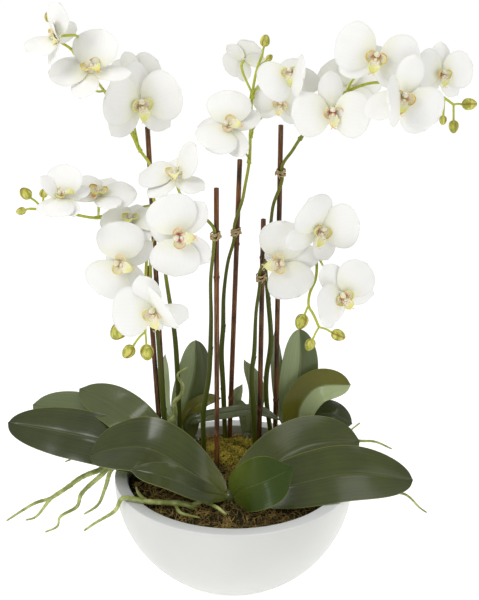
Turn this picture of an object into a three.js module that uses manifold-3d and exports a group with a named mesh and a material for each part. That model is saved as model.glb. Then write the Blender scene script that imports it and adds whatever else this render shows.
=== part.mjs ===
// A potted moth orchid: six flower spikes tied to cane stakes in a white bowl filled with coir.
// Millimetres, +Z up, origin at the centre of the bowl's foot, where it rests.
// The front of the arrangement faces -Y.
import * as THREE from 'three';
import { mergeVertices } from 'three/addons/utils/BufferGeometryUtils.js';
import Module from 'manifold-3d';

const wasm = await Module();
wasm.setup();

// Clearance between two pieces that touch, and the shortest edge that is kept.
const GAP = 0.3;
const SHORTEST_EDGE = 0.05;
const UP = new THREE.Vector3(0, 0, 1);

// The bowl.
const BOWL_HEIGHT = 128;
const BOWL_RADIUS = 140;
const FOOT_RADIUS = 60;
const RIM_WIDTH = 15;
const WALL = 10;
const FLOOR_THICKNESS = 12;
const BOWL_STEPS = 5;
const BOWL_SIDES = 26;

// The filling, and the moss that lies on it.
const SOIL_EDGE = 116;
const SOIL_RADIUS = 123;
const SOIL_RINGS = 2;
const HOLE_SIDES = 4;
const HOLE_TOP = 20;
const SOIL_CROWN = 7;
const SOIL_BUMP = 1.6;
const SOIL_SHOULDER = 4;
const MOSS_CENTRE = [14, 62];
const MOSS_RADIUS = 40;
const MOSS_STRETCH = 1.25;
const MOSS_HEIGHT = 6;
const MOSS_UNDER = 8;
const MOSS_SIDES = 12;
const MOSS_RAGGED = 0.12;
const MOSS_UNEVEN = 0.25;
const MOSS_PROFILE = [[0, -MOSS_UNDER], [1, -MOSS_UNDER], [1, 1], [0.6, MOSS_HEIGHT], [0, MOSS_HEIGHT]];

// Cane stakes: where they leave the filling, and their tops.
const STAKE_RADIUS = 3;
const STAKE_DEPTH = 42;
const STAKE_SIDES = 6;
const JOINT_FIRST = 60;
const JOINT_SPACING = 200;
const JOINT_SWELL = 0.8;
const STAKES = {
  stake_left_front: { foot: [-86, 45], top: [-99, 50, 372] },
  stake_left_back: { foot: [-82, 72], top: [-98, 88, 528] },
  stake_middle: { foot: [-20, 10], top: [-19, 10, 483] },
  stake_back: { foot: [-6, 104], top: [7, 112, 480] },
  stake_right_back: { foot: [50, 98], top: [54, 106, 524] },
  stake_right_front: { foot: [30, 74], top: [34, 66, 424] },
};

// Ties hold each spike to its stake: the height of the tie, and the side on which the stem lies.
const TIE_HEIGHT = 9;
const TIE_WALL = 1.1;
const TIE_SIDES = 8;
const TIES = {
  tie_left_front: { stake: 'stake_left_front', height: 352, side: [0.5, -0.86] },
  tie_left_back: { stake: 'stake_left_back', height: 475, side: [0.2, -1] },
  tie_middle: { stake: 'stake_middle', height: 428, side: [-0.5, -0.86] },
  tie_back: { stake: 'stake_back', height: 392, side: [-0.6, -0.8] },
  tie_right_back: { stake: 'stake_right_back', height: 468, side: [0.4, -0.9] },
  tie_right_front: { stake: 'stake_right_front', height: 352, side: [-0.5, -0.86] },
};

// Blooms: the middle of the flower, where it looks (degrees right of the viewer, degrees up),
// its roll clockwise for the viewer, its size against a full bloom, how far its petals hang, and
// how far single petals and sepals are lifted forward from their base (degrees).
const NECK = 11;
const HEART = [[0, -NECK], [1.7, -NECK], [4.4, -3], [4.2, 4.2], [2, 10], [0, 10]];
const HEART_SIDES = 5;
const TEPAL_ROOT = 2.4;
const TEPAL_THICKNESS = 0.9;
const TIP_ROUND = 1.03;
const TIP_CLOSE = 1.5;
const PETAL = { length: 42, width: 53, widest: 0.56, base: 0.07, layer: 2.2, rise: 7, bend: 9, dome: 5,
  rows: 4, columns: 2 };
const SEPAL = { length: 41, width: 29, widest: 0.52, base: 0.1, layer: -1, rise: 5, bend: 9, dome: 4,
  rows: 3, columns: 1 };
const TEPALS = [
  { kind: SEPAL, angle: 90, hang: 0, place: 'dorsal' },
  { kind: SEPAL, angle: 222, hang: 0, place: 'lower' },
  { kind: SEPAL, angle: 318, hang: 0, place: 'lower' },
  { kind: PETAL, angle: 16, hang: -1, place: 'right' },
  { kind: PETAL, angle: 164, hang: 1, place: 'left' },
];
const LIP_THICKNESS = 0.8;
const LIP = [
  { middle: [0, -1.5, 3], edge: [1.5, -1.5, 3] },
  { middle: [0, -4.5, 7], edge: [7, 1.5, 11] },
  { middle: [0, -10, 10], edge: [5.5, -9, 12] },
  { middle: [0, -16, 9], edge: [2.5, -15.5, 10] },
];
const BLOOMS = {
  bloom_1a: { at: [-190, 14, 656], yaw: -55, pitch: 5, roll: -85, size: 0.85, droop: 16,
    lift: { left: 72, dorsal: -60, lower: 40 } },
  bloom_1b: { at: [-155, 18, 616], yaw: -10, pitch: 70, roll: -45, size: 1.04, droop: -19,
    lift: { right: 46 } },
  bloom_1c: { at: [-110, 92, 587], yaw: 165, pitch: 0, roll: 20, size: 0.72 },
  bloom_1d: { at: [-105, 52, 568], yaw: 25, pitch: 10, roll: 0, size: 1.1,
    lift: { right: 25, left: 20 } },
  bloom_2a: { at: [-185, -52, 496], yaw: -10, pitch: 72, roll: -85, size: 0.8, droop: 16,
    lift: { right: 50, dorsal: 60 } },
  bloom_2b: { at: [-148, -16, 485], yaw: 10, pitch: 76, roll: 25, size: 0.95,
    lift: { lower: 20 } },
  bloom_2c: { at: [-113, -23, 457], yaw: -10, pitch: 72, roll: 0, size: 0.8 },
  bloom_3b: { at: [-63, -14, 506], yaw: -20, pitch: 72, roll: -20, size: 0.95,
    lift: { right: 50 } },
  bloom_2d: { at: [-124, -54, 421], yaw: -10, pitch: 10, roll: -74, size: 1.02,
    lift: { dorsal: -50, lower: -30 } },
  bloom_2e: { at: [-86, -80, 374], yaw: -15, pitch: 10, roll: -20, size: 1.05,
    lift: { right: 50, left: 15, dorsal: 20, lower: -40 } },
  bloom_3a: { at: [-59, -76, 461], yaw: 0, pitch: 5, roll: -94, size: 1.05, droop: 4,
    lift: { dorsal: -40 } },
  bloom_4a: { at: [12, 96, 605], yaw: 165, pitch: 10, roll: 45, size: 0.6 },
  bloom_4b: { at: [-6, 50, 541], yaw: -5, pitch: 50, roll: -75, size: 0.95,
    lift: { right: 18, left: 15, dorsal: -20 } },
  bloom_4c: { at: [63, 46, 608], yaw: -10, pitch: 10, roll: -12, size: 0.88, droop: 40,
    lift: { right: 62, left: 15, dorsal: -70 } },
  bloom_4d: { at: [53, 86, 558], yaw: -5, pitch: 0, roll: 10, size: 0.75 },
  bloom_5a: { at: [107, 20, 571], yaw: 12, pitch: 5, roll: 0, size: 1, droop: 26,
    lift: { right: 40, left: -5, lower: -30 } },
  bloom_5b: { at: [130, 82, 577], yaw: 180, pitch: -5, roll: 0, size: 0.88, droop: -20 },
  bloom_5c: { at: [154, 2, 639], yaw: -5, pitch: 5, roll: 14, size: 1.05, droop: 10,
    lift: { dorsal: -85 } },
  bloom_5d: { at: [182, -26, 602], yaw: 5, pitch: 10, roll: 17, size: 1.05, droop: 38,
    lift: { left: 62 } },
  bloom_5e: { at: [226, 22, 612], yaw: 28, pitch: 15, roll: 10, size: 0.8,
    lift: { right: 25, left: 5 } },
  bloom_6a: { at: [53, 6, 397], yaw: -5, pitch: 5, roll: 79, size: 1.05,
    lift: { lower: -60 } },
  bloom_6b: { at: [95, -2, 439], yaw: 30, pitch: 5, roll: 28, size: 1.02, droop: -18,
    lift: { right: 28, left: 20, dorsal: -40 } },
  bloom_6c: { at: [120, -28, 372], yaw: 20, pitch: -5, roll: -30, size: 1,
    lift: { left: 35 } },
};

// Spikes: the route of the main stem by hand, from the filling up, with the tie that it passes;
// its buds with their length, and for each bloom the point of the stem that its pedicel leaves.
const STEM_RADIUS = 2.4;
const STEM_TIP_RADIUS = 1.5;
const PEDICEL_RADIUS = 1.2;
const PEDICEL_SIDES = 3;
const PEDICEL_STEPS = 2;
const PEDICEL_END = 3;
const PEDICEL_RISE = 0.15;
const PEDICEL_BEND = 0.4;
const STALK_SINK = 1;
const BUD_SIDES = 4;
const BUD = [{ along: -0.5, wide: 0 }, { along: -0.15, wide: 0.42 }, { along: 0.2, wide: 0.38 },
  { along: 0.5, wide: 0.08 }];
const STEM_DEPTH = 22;
const STEM_SIDES = 4;
const STEM_OFFSET = STAKE_RADIUS + STEM_RADIUS + 0.4;
const SPIKES = {
  spike_1: {
    low: [[-66, 80, 118], [-67, 80, 201], [-70, 80, 270], [-78, 78, 336], [-87, 77, 410]],
    tie: 'tie_left_back',
    high: [[-108, 78, 506], [-115, 76, 524], [-126, 74, 548], [-143, 78, 571], [-162, 80, 597],
      [-179, 78, 621], [-194, 60, 638]],
    buds: [{ at: [-202, 54, 666], from: [-194, 60, 638], length: 12 }],
    forks: { bloom_1a: [-179, 78, 621], bloom_1b: [-143, 78, 571], bloom_1c: [-115, 76, 524],
      bloom_1d: [-108, 78, 506] },
  },
  spike_2: {
    low: [[-77, 52, 118], [-81, 48, 157], [-85, 44, 217], [-89, 43, 290]],
    tie: 'tie_left_front',
    high: [[-95, 34, 400], [-96, 18, 412], [-98, 2, 396], [-100, -8, 352], [-100, -12, 318]],
    buds: [
      { at: [-120, -10, 292], from: [-100, -12, 318], length: 18 },
      { at: [-99, -8, 290], from: [-100, -12, 318], length: 20 },
      { at: [-130, -12, 319], from: [-100, -8, 352], length: 24 },
    ],
    forks: { bloom_2d: [-96, 18, 412], bloom_2e: [-100, -8, 352], bloom_3a: [-95, 34, 400] },
  },
  spike_3: {
    low: [[-35, 40, 118], [-36, 30, 192], [-29, 22, 246], [-26, 16, 319], [-26, 10, 373]],
    tie: 'tie_middle',
    high: [[-32, 6, 449], [-42, 8, 456], [-82, 10, 463], [-115, 14, 456], [-151, 10, 448],
      [-181, 4, 455], [-211, -6, 464], [-224, -14, 468]],
    buds: [
      { at: [-228, -16, 487], from: [-211, -6, 464], length: 16 },
      { at: [-234, -16, 466], from: [-224, -14, 468], length: 11 },
      { at: [-208, -18, 488], from: [-211, -6, 464], length: 12 },
    ],
    forks: { bloom_3b: [-42, 8, 456], bloom_2c: [-82, 10, 463], bloom_2b: [-151, 10, 448],
      bloom_2a: [-181, 4, 455] },
  },
  spike_4: {
    low: [[-11, 94, 120], [-13, 98, 190], [-15, 102, 238], [-13, 102, 271], [-12, 102, 314],
      [-7, 102, 356]],
    tie: 'tie_back',
    high: [[10, 102, 434], [13, 100, 452], [18, 96, 485], [19, 90, 518], [21, 84, 567],
      [26, 80, 598], [32, 77, 616]],
    buds: [
      { at: [35, 76, 633], from: [32, 77, 616], length: 14 },
      { at: [40, 80, 612], from: [26, 80, 598], length: 9 },
    ],
    forks: { bloom_4a: [21, 84, 567], bloom_4b: [18, 96, 485], bloom_4c: [21, 84, 567],
      bloom_4d: [19, 90, 518] },
  },
  spike_5: {
    low: [[46, 90, 120], [39, 92, 182], [39, 94, 211], [44, 96, 256], [40, 97, 316], [37, 97, 358],
      [43, 98, 406], [46, 98, 430]],
    tie: 'tie_right_back',
    high: [[67, 92, 498], [77, 80, 519], [102, 64, 554], [126, 52, 581], [151, 50, 592],
      [182, 46, 593], [211, 44, 590], [233, 40, 578], [243, 38, 571]],
    buds: [
      { at: [260, 34, 573], from: [243, 38, 571], length: 17 },
      { at: [244, 36, 546], from: [243, 38, 571], length: 15 },
      { at: [232, 38, 553], from: [233, 40, 578], length: 11 },
    ],
    forks: { bloom_5a: [77, 80, 519], bloom_5b: [77, 80, 519], bloom_5c: [126, 52, 581],
      bloom_5d: [182, 46, 593], bloom_5e: [211, 44, 590] },
  },
  spike_6: {
    low: [[25, 66, 120], [24, 64, 170], [21, 62, 228], [24, 62, 258], [26, 61, 310]],
    tie: 'tie_right_front',
    high: [[40, 52, 379], [64, 38, 405], [81, 28, 410], [92, 18, 400], [93, 10, 375],
      [86, 4, 358], [85, 0, 345], [91, 0, 333], [97, -2, 319]],
    buds: [
      { at: [77, 0, 325], from: [85, 0, 345], length: 19 },
      { at: [87, -4, 298], from: [97, -2, 319], length: 15 },
      { at: [119, -6, 311], from: [97, -2, 319], length: 17 },
    ],
    forks: { bloom_6a: [40, 52, 379], bloom_6b: [64, 38, 405], bloom_6c: [92, 18, 400] },
  },
};

// Plants: a short crown that stands in the filling, and its leaves. Each leaf has the route of its
// midrib by hand from just beside the crown to the tip, the direction its upper side faces, the
// width of the blade, and the depth of its channel against the half width.
const LEAF_THICKNESS = 1.6;
const CROWN_RADIUS = 9;
const CROWN_HEIGHT = 12;
const CROWN_DEPTH = 12;
const CROWN_SIDES = 6;
const CROWN_PROFILE = [[0, -CROWN_DEPTH], [0.7 * CROWN_RADIUS, -CROWN_DEPTH], [CROWN_RADIUS, 0],
  [0.7 * CROWN_RADIUS, CROWN_HEIGHT], [0, CROWN_HEIGHT]];
const LEAF_ROWS = 5;
const LEAF_COLUMNS = 2;
const LEAF_WIDEST = 0.58;
const LEAF_BASE = 0.13;
const PLANTS = {
  plant_front: {
    crown: [-4, -50],
    leaves: [
      { rib: [[-43, -52, 154], [-96, -36, 181], [-137, -18, 172], [-169, -6, 156]],
        face: [-0.15, -0.55, 1], width: 74, channel: 0.16 },
      { rib: [[-39, -68, 140], [-78, -74, 151], [-118, -62, 157]],
        face: [0, -0.2, 1], width: 26, channel: 0.2 },
      { rib: [[12, -72, 148], [34, -84, 164], [68, -74, 177]],
        face: [0.1, -1, 0.75], width: 60, channel: 0.12 },
      { rib: [[40, -30, 153], [92, 6, 164], [149, 30, 156]],
        face: [0.1, -0.8, 1], width: 74, channel: 0.14 },
      { rib: [[65, -52, 142], [134, -36, 148], [209, -20, 131]],
        face: [0.05, -0.75, 1], width: 70, channel: 0.14 },
    ],
  },
  plant_left: {
    crown: [-66, 20],
    leaves: [
      { rib: [[-146, 14, 161], [-206, 34, 166], [-270, 56, 167]],
        face: [0, -0.75, 1], width: 66, channel: 0.12 },
      { rib: [[-140, 34, 164], [-191, 62, 174], [-243, 88, 175]],
        face: [0.05, -0.8, 1], width: 66, channel: 0.12 },
      { rib: [[-111, 27, 172], [-146, 62, 180], [-186, 90, 188]],
        face: [0.45, -0.8, 1], width: 52, channel: 0.14 },
    ],
  },
  plant_back_left: {
    crown: [-50, 92],
    leaves: [
      { rib: [[-58, 100, 162], [-48, 110, 211], [-46, 114, 249]],
        face: [0.1, -1, 0.25], width: 42, channel: 0.2 },
      { rib: [[-83, 98, 163], [-86, 106, 199], [-83, 110, 232]],
        face: [-0.5, -1, 0.2], width: 20, channel: 0.15 },
      { rib: [[-53, 85, 153], [-10, 84, 166], [29, 83, 170], [57, 83, 156]],
        face: [0, -0.8, 0.7], width: 15, channel: 0.1 },
      { rib: [[-53, 92, 163], [-35, 92, 179], [-15, 90, 183]],
        face: [0.1, -0.8, 0.7], width: 18, channel: 0.12 },
    ],
  },
  plant_back: {
    crown: [18, 108],
    leaves: [
      { rib: [[12, 112, 153], [2, 114, 168], [10, 118, 188]],
        face: [-0.4, -1, 0.3], width: 17, channel: 0.15 },
      { rib: [[26, 116, 151], [27, 118, 185], [12, 120, 220]],
        face: [-0.2, -0.7, 0.8], width: 20, channel: 0.12 },
    ],
  },
  plant_back_right: {
    crown: [78, 84],
    leaves: [
      { rib: [[89, 84, 156], [116, 86, 164], [143, 84, 151]],
        face: [0.1, -0.5, 1], width: 40, channel: 0.1 },
      { rib: [[80, 90, 170], [101, 94, 195], [141, 98, 197]],
        face: [-0.2, -0.9, 0.7], width: 44, channel: 0.35 },
      { rib: [[75, 106, 172], [80, 116, 221], [79, 120, 261]],
        face: [0.05, -1, 0.2], width: 46, channel: 0.12 },
      { rib: [[59, 112, 153], [52, 118, 210], [49, 122, 256]],
        face: [0.2, -1, 0.1], width: 16, channel: 0.1 },
    ],
  },
};

// Aerial roots: the strands of each group by hand, thick end first, with the two radii. A sunk
// strand starts in the filling.
const ROOT_SIDES = 3;
const ROOTS = {
  roots_left: [
    { route: [[-84, 24, 116], [-100, 28, 132], [-141, 37, 134], [-156, 36, 117], [-181, 34, 106],
      [-218, 30, 80], [-239, 28, 73], [-274, 24, 51]], thick: 3.4, thin: 1.1, sunk: true },
    { route: [[-194, 32, 96], [-218, 30, 80], [-239, 26, 55], [-251, 24, 52]], thick: 2.2, thin: 1 },
    { route: [[-100, 26, 130], [-143, 18, 133], [-156, 19, 118], [-182, 16, 92], [-187, 14, 77],
      [-208, 10, 64], [-211, 8, 53], [-226, 4, 47]], thick: 3, thin: 1 },
    { route: [[-90, 22, 126], [-116, 10, 134], [-142, 7, 133], [-152, 4, 108], [-161, 0, 87],
      [-178, -4, 76]], thick: 3, thin: 1 },
    { route: [[-110, 32, 131], [-140, 58, 138], [-171, 60, 131], [-190, 58, 120], [-204, 56, 114]],
      thick: 1.6, thin: 0.9 },
  ],
  roots_front: [
    { route: [[-40, -64, 112], [-52, -70, 126], [-99, -70, 131], [-127, -66, 133], [-137, -62, 114],
      [-160, -62, 98], [-173, -64, 89]], thick: 3.2, thin: 1.2, sunk: true },
    { route: [[-99, -70, 131], [-110, -46, 128], [-114, -26, 126]], thick: 2, thin: 1 },
    { route: [[-52, -70, 124], [-36, -64, 127], [-20, -76, 127], [-8, -88, 124]], thick: 2.6, thin: 1.6 },
    { route: [[-66, -72, 126], [-60, -86, 125], [-38, -95, 124]], thick: 2, thin: 1 },
  ],
  root_upright: [
    { route: [[-74, 64, 112], [-78, 64, 147], [-80, 68, 159], [-71, 70, 169], [-71, 70, 188],
      [-64, 70, 196], [-61, 70, 209], [-67, 70, 224], [-55, 70, 234]], thick: 3.2, thin: 1, sunk: true },
  ],
  roots_right: [
    { route: [[98, 60, 110], [108, 58, 132], [133, 50, 148], [150, 46, 148], [168, 44, 148],
      [189, 42, 139]], thick: 2.2, thin: 0.9, sunk: true },
    { route: [[108, 58, 132], [134, 70, 143], [142, 72, 150], [152, 74, 158]], thick: 1.6, thin: 0.9 },
  ],
  root_right_front: [
    { route: [[102, -20, 110], [116, -22, 132], [150, -26, 132], [184, -30, 122], [201, -34, 119],
      [217, -38, 104], [225, -40, 99]], thick: 2.2, thin: 0.9, sunk: true },
  ],
};

// Materials, one for each finish.
const MATERIALS = {
  ceramic: new THREE.MeshStandardMaterial({ color: 0xe4e4e2, roughness: 0.35, metalness: 0 }),
  coir: new THREE.MeshStandardMaterial({ color: 0x3a2a1a, roughness: 0.95, metalness: 0 }),
  moss: new THREE.MeshStandardMaterial({ color: 0x5f5a22, roughness: 0.95, metalness: 0 }),
  cane: new THREE.MeshStandardMaterial({ color: 0x5b2f20, roughness: 0.55, metalness: 0 }),
  raffia: new THREE.MeshStandardMaterial({ color: 0xa98a5e, roughness: 0.8, metalness: 0 }),
  stem: new THREE.MeshStandardMaterial({ color: 0x7c8f3a, roughness: 0.5, metalness: 0 }),
  petal: new THREE.MeshStandardMaterial({ color: 0xf3f1ea, roughness: 0.6, metalness: 0 }),
  leaf: new THREE.MeshStandardMaterial({ color: 0x2f4a27, roughness: 0.35, metalness: 0 }),
  root: new THREE.MeshStandardMaterial({ color: 0x9bac68, roughness: 0.7, metalness: 0 }),
};

const orchid = new THREE.Group();

function vec(p) {
  return new THREE.Vector3(p[0], p[1], p[2]);
}

function toSolid(geometry) {
  geometry.deleteAttribute('normal');
  geometry.deleteAttribute('uv');
  const merged = mergeVertices(geometry, 1e-4);
  return new wasm.Manifold(new wasm.Mesh({
    numProp: 3,
    vertProperties: new Float32Array(merged.getAttribute('position').array),
    triVerts: new Uint32Array(merged.getIndex().array),
  }));
}

function toGeometry(solid) {
  const mesh = solid.asOriginal().simplify(SHORTEST_EDGE).getMesh();
  const geometry = new THREE.BufferGeometry();
  geometry.setAttribute('position', new THREE.BufferAttribute(mesh.vertProperties, 3));
  geometry.setIndex(new THREE.BufferAttribute(mesh.triVerts, 1));
  geometry.computeVertexNormals();
  return geometry;
}

function add(name, geometry, finish) {
  const mesh = new THREE.Mesh(geometry, MATERIALS[finish].clone());
  mesh.name = name;
  orchid.add(mesh);
  return mesh;
}

// The union of solids as one body; a loose scrap left by a crossing is dropped.
function fuse(solids) {
  const bodies = solids.reduce((sum, solid) => sum.add(solid)).decompose();
  return bodies.reduce((best, body) => (body.volume() > best.volume() ? body : best));
}

// A closed thin blade from a surface: both faces share one grid, split alike.
function blade(rows, columns, thickness, surface) {
  const positions = [];
  const index = [];
  const across = columns + 1;
  for (const side of [0.5, -0.5]) {
    for (let i = 0; i <= rows; i += 1) {
      for (let j = 0; j <= columns; j += 1) {
        const { point, normal } = surface(i / rows, (2 * j) / columns - 1);
        point.addScaledVector(normal, side * thickness);
        positions.push(point.x, point.y, point.z);
      }
    }
  }
  const layer = (rows + 1) * across;
  const quad = (a, b, c, d) => index.push(a, b, c, a, c, d);
  for (let i = 0; i < rows; i += 1) {
    for (let j = 0; j < columns; j += 1) {
      const a = i * across + j;
      const b = a + across;
      quad(a, b, b + 1, a + 1);
      quad(layer + a, layer + a + 1, layer + b + 1, layer + b);
    }
  }
  const rim = [];
  for (let j = 0; j < columns; j += 1) rim.push(j);
  for (let i = 0; i < rows; i += 1) rim.push(i * across + columns);
  for (let j = columns; j > 0; j -= 1) rim.push(rows * across + j);
  for (let i = rows; i > 0; i -= 1) rim.push(i * across);
  rim.forEach((a, k) => {
    const b = rim[(k + 1) % rim.length];
    quad(a, b, layer + b, layer + a);
  });
  const geometry = new THREE.BufferGeometry();
  geometry.setAttribute('position', new THREE.Float32BufferAttribute(positions, 3));
  geometry.setIndex(index);
  return geometry;
}

// A route through points chosen by hand, with one section of a tube at each point.
class Route extends THREE.Curve {
  constructor(points) {
    super();
    this.points = points.map(vec);
  }

  getPointAt(u) {
    const place = u * (this.points.length - 1);
    const k = Math.min(Math.floor(place + 1e-6), this.points.length - 2);
    return this.points[k].clone().lerp(this.points[k + 1], place - k);
  }

  getTangentAt(u) {
    const last = this.points.length - 1;
    const k = Math.round(u * last);
    const before = this.points[Math.max(k - 1, 0)];
    return this.points[Math.min(k + 1, last)].clone().sub(before).normalize();
  }
}

// A tube along a route; radiusAt gives its radius from 0 at the start to 1 at the end.
function tube(route, radiusAt, sides) {
  const curve = new Route(route);
  const section = new THREE.Shape();
  for (let i = 0; i < sides; i += 1) {
    const angle = (2 * Math.PI * i) / sides;
    const corner = [Math.cos(angle), Math.sin(angle)];
    if (i === 0) section.moveTo(...corner);
    else section.lineTo(...corner);
  }
  section.closePath();
  const steps = route.length - 1;
  const geometry = new THREE.ExtrudeGeometry(section, {
    steps, bevelEnabled: false, extrudePath: curve,
  });
  const position = geometry.getAttribute('position');
  const corner = new THREE.Vector3();
  for (let i = 0; i < position.count; i += 1) {
    corner.fromBufferAttribute(position, i);
    const place = nearest(corner, curve.points);
    corner.sub(curve.points[place]).multiplyScalar(radiusAt(place / steps)).add(curve.points[place]);
    position.setXYZ(i, corner.x, corner.y, corner.z);
  }
  return toSolid(geometry);
}

function nearest(corner, centres) {
  let best = 0;
  centres.forEach((centre, k) => {
    if (corner.distanceTo(centre) < corner.distanceTo(centres[best])) best = k;
  });
  return best;
}

const evenly = (start, end) => (t) => start + (end - start) * t;

// A bud with its stalk: a tube that swells to an egg at its end.
function budSolid(at, direction, length, start) {
  const route = [start, ...BUD.map(({ along }) => at.clone().addScaledVector(direction, along * length))];
  const widths = [PEDICEL_RADIUS, ...BUD.map(({ wide }) => Math.max(wide * length, PEDICEL_RADIUS))];
  const steps = route.length - 1;
  return tube(route.map((point) => point.toArray()), (t) => widths[Math.round(t * steps)], BUD_SIDES);
}

// The bowl: a round wall on a flat foot, thickest at its flat rim band.
function wallOutline(steps) {
  const start = Math.asin(FOOT_RADIUS / BOWL_RADIUS);
  const points = [];
  for (let i = 0; i <= steps; i += 1) {
    const angle = start + ((Math.PI / 2 - start) * i) / steps;
    const z = BOWL_HEIGHT * (1 - Math.cos(angle) / Math.cos(start));
    points.push(new THREE.Vector2(BOWL_RADIUS * Math.sin(angle), z));
  }
  return points;
}

function innerOutline(steps) {
  return wallOutline(steps).slice(1).map(({ x, y }) => {
    const wall = WALL + (RIM_WIDTH - WALL) * (y / BOWL_HEIGHT);
    return new THREE.Vector2(x - wall, Math.max(y, FLOOR_THICKNESS));
  });
}

function bowl() {
  const profile = [new THREE.Vector2(0, 0), ...wallOutline(BOWL_STEPS)];
  profile.push(...innerOutline(BOWL_STEPS).reverse(), new THREE.Vector2(0, FLOOR_THICKNESS));
  return new THREE.LatheGeometry(profile, BOWL_SIDES).rotateX(Math.PI / 2);
}

// The filling: its sides follow the wall, its top swells toward the middle with small lumps.
function soilHeight(x, y) {
  const swell = SOIL_CROWN * (1 - (x * x + y * y) / SOIL_RADIUS ** 2);
  const lumps = Math.sin(x * 0.19 + 1.3) * Math.cos(y * 0.23 - 0.4) + 0.5 * Math.sin(x * 0.41 - y * 0.37);
  return SOIL_EDGE + swell + SOIL_BUMP * lumps;
}

function soilSolid() {
  const side = innerOutline(BOWL_STEPS).filter(({ y }) => y < SOIL_EDGE - SOIL_SHOULDER);
  const profile = [new THREE.Vector2(0, FLOOR_THICKNESS + GAP)];
  side.forEach(({ x, y }) => profile.push(new THREE.Vector2(x - GAP, y + GAP)));
  for (let i = SOIL_RINGS; i >= 0; i -= 1) {
    profile.push(new THREE.Vector2((SOIL_RADIUS * i) / SOIL_RINGS, SOIL_EDGE));
  }
  const geometry = new THREE.LatheGeometry(profile, BOWL_SIDES).rotateX(Math.PI / 2);
  const position = geometry.getAttribute('position');
  for (let i = 0; i < position.count; i += 1) {
    if (position.getZ(i) > SOIL_EDGE - 1) {
      position.setZ(i, soilHeight(position.getX(i), position.getY(i)));
    }
  }
  return toSolid(geometry);
}

// A plain hole in the filling, from a point above it down along a direction.
function holeSolid(from, to, radius) {
  return tube([from, to], evenly(radius, radius), HOLE_SIDES);
}

function holes() {
  const wide = (radius) => (radius + GAP) / Math.cos(Math.PI / HOLE_SIDES);
  const shafts = Object.keys(STAKES).map((name) => {
    const { start, direction } = stakeLine(name);
    const top = start.clone().addScaledVector(direction, HOLE_TOP);
    const bottom = start.clone().addScaledVector(direction, -STAKE_DEPTH - GAP);
    return holeSolid(top.toArray(), bottom.toArray(), wide(STAKE_RADIUS));
  });
  const upright = ([x, y], top, depth, radius) => (
    shafts.push(holeSolid([x, y, top], [x, y, top - depth], wide(radius))));
  Object.values(SPIKES).forEach(({ low: [[x, y, z]] }) => {
    upright([x, y], z + HOLE_TOP, HOLE_TOP + STEM_DEPTH + GAP, STEM_RADIUS);
  });
  Object.values(PLANTS).forEach(({ crown }) => {
    const z = soilHeight(...crown);
    upright(crown, z + HOLE_TOP, HOLE_TOP + CROWN_DEPTH + GAP, CROWN_RADIUS);
  });
  Object.values(ROOTS).flat().filter(({ sunk }) => sunk).forEach(({ route: [start, next], thick }) => {
    const direction = vec(next).sub(vec(start)).normalize();
    const bottom = vec(start).addScaledVector(direction, -GAP);
    const top = vec(start).addScaledVector(direction, HOLE_TOP);
    shafts.push(holeSolid(top.toArray(), bottom.toArray(), wide(thick)));
  });
  return shafts.reduce((sum, shaft) => sum.add(shaft));
}

// A cane stake with swollen joints, from its foot in the filling to its cut top.
function stakeLine(name) {
  const { foot, top } = STAKES[name];
  const start = new THREE.Vector3(foot[0], foot[1], SOIL_EDGE);
  const direction = vec(top).sub(start).normalize();
  return { start, direction, length: start.distanceTo(vec(top)) };
}

function stake(name) {
  const { start, direction, length } = stakeLine(name);
  const profile = [new THREE.Vector2(0, -STAKE_DEPTH), new THREE.Vector2(STAKE_RADIUS, -STAKE_DEPTH)];
  for (let at = JOINT_FIRST; at < length - JOINT_FIRST / 2; at += JOINT_SPACING) {
    profile.push(new THREE.Vector2(STAKE_RADIUS, at - JOINT_SWELL * 2));
    profile.push(new THREE.Vector2(STAKE_RADIUS + JOINT_SWELL, at));
    profile.push(new THREE.Vector2(STAKE_RADIUS, at + JOINT_SWELL * 2));
  }
  profile.push(new THREE.Vector2(STAKE_RADIUS, length), new THREE.Vector2(0, length));
  const geometry = new THREE.LatheGeometry(profile, STAKE_SIDES);
  const turn = new THREE.Quaternion().setFromUnitVectors(new THREE.Vector3(0, 1, 0), direction);
  return geometry.applyQuaternion(turn).translate(start.x, start.y, start.z);
}

// Where a stem runs beside its stake at a tie, a given distance above the tie's middle.
function besideStake(name, above) {
  const { stake: stakeName, height, side } = TIES[name];
  const { start, direction } = stakeLine(stakeName);
  const at = start.clone().addScaledVector(direction, (height + above - start.z) / direction.z);
  const aside = new THREE.Vector3(side[0], side[1], 0).normalize();
  return { axis: at, stem: at.clone().addScaledVector(aside, STEM_OFFSET), direction };
}

// A raffia tie: an oval band round the stake and the stem.
function tie(name) {
  const { axis, stem, direction } = besideStake(name, 0);
  const oval = (radius) => {
    const points = [];
    for (let i = 0; i < TIE_SIDES; i += 1) {
      const angle = (2 * Math.PI * (i + 0.5)) / TIE_SIDES;
      const x = radius * Math.cos(angle) + (Math.cos(angle) > 0 ? STEM_OFFSET : 0);
      points.push(new THREE.Vector2(x, radius * Math.sin(angle)));
    }
    return points;
  };
  const inner = (STAKE_RADIUS + GAP) / Math.cos(Math.PI / TIE_SIDES);
  const band = new THREE.Shape(oval(inner + TIE_WALL));
  band.holes.push(new THREE.Path(oval(inner)));
  const geometry = new THREE.ExtrudeGeometry(band, { depth: TIE_HEIGHT, bevelEnabled: false });
  geometry.translate(0, 0, -TIE_HEIGHT / 2);
  const along = stem.clone().sub(axis).projectOnPlane(direction).normalize();
  const across = direction.clone().cross(along);
  geometry.applyMatrix4(new THREE.Matrix4().makeBasis(along, across, direction));
  return geometry.translate(axis.x, axis.y, axis.z);
}

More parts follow.
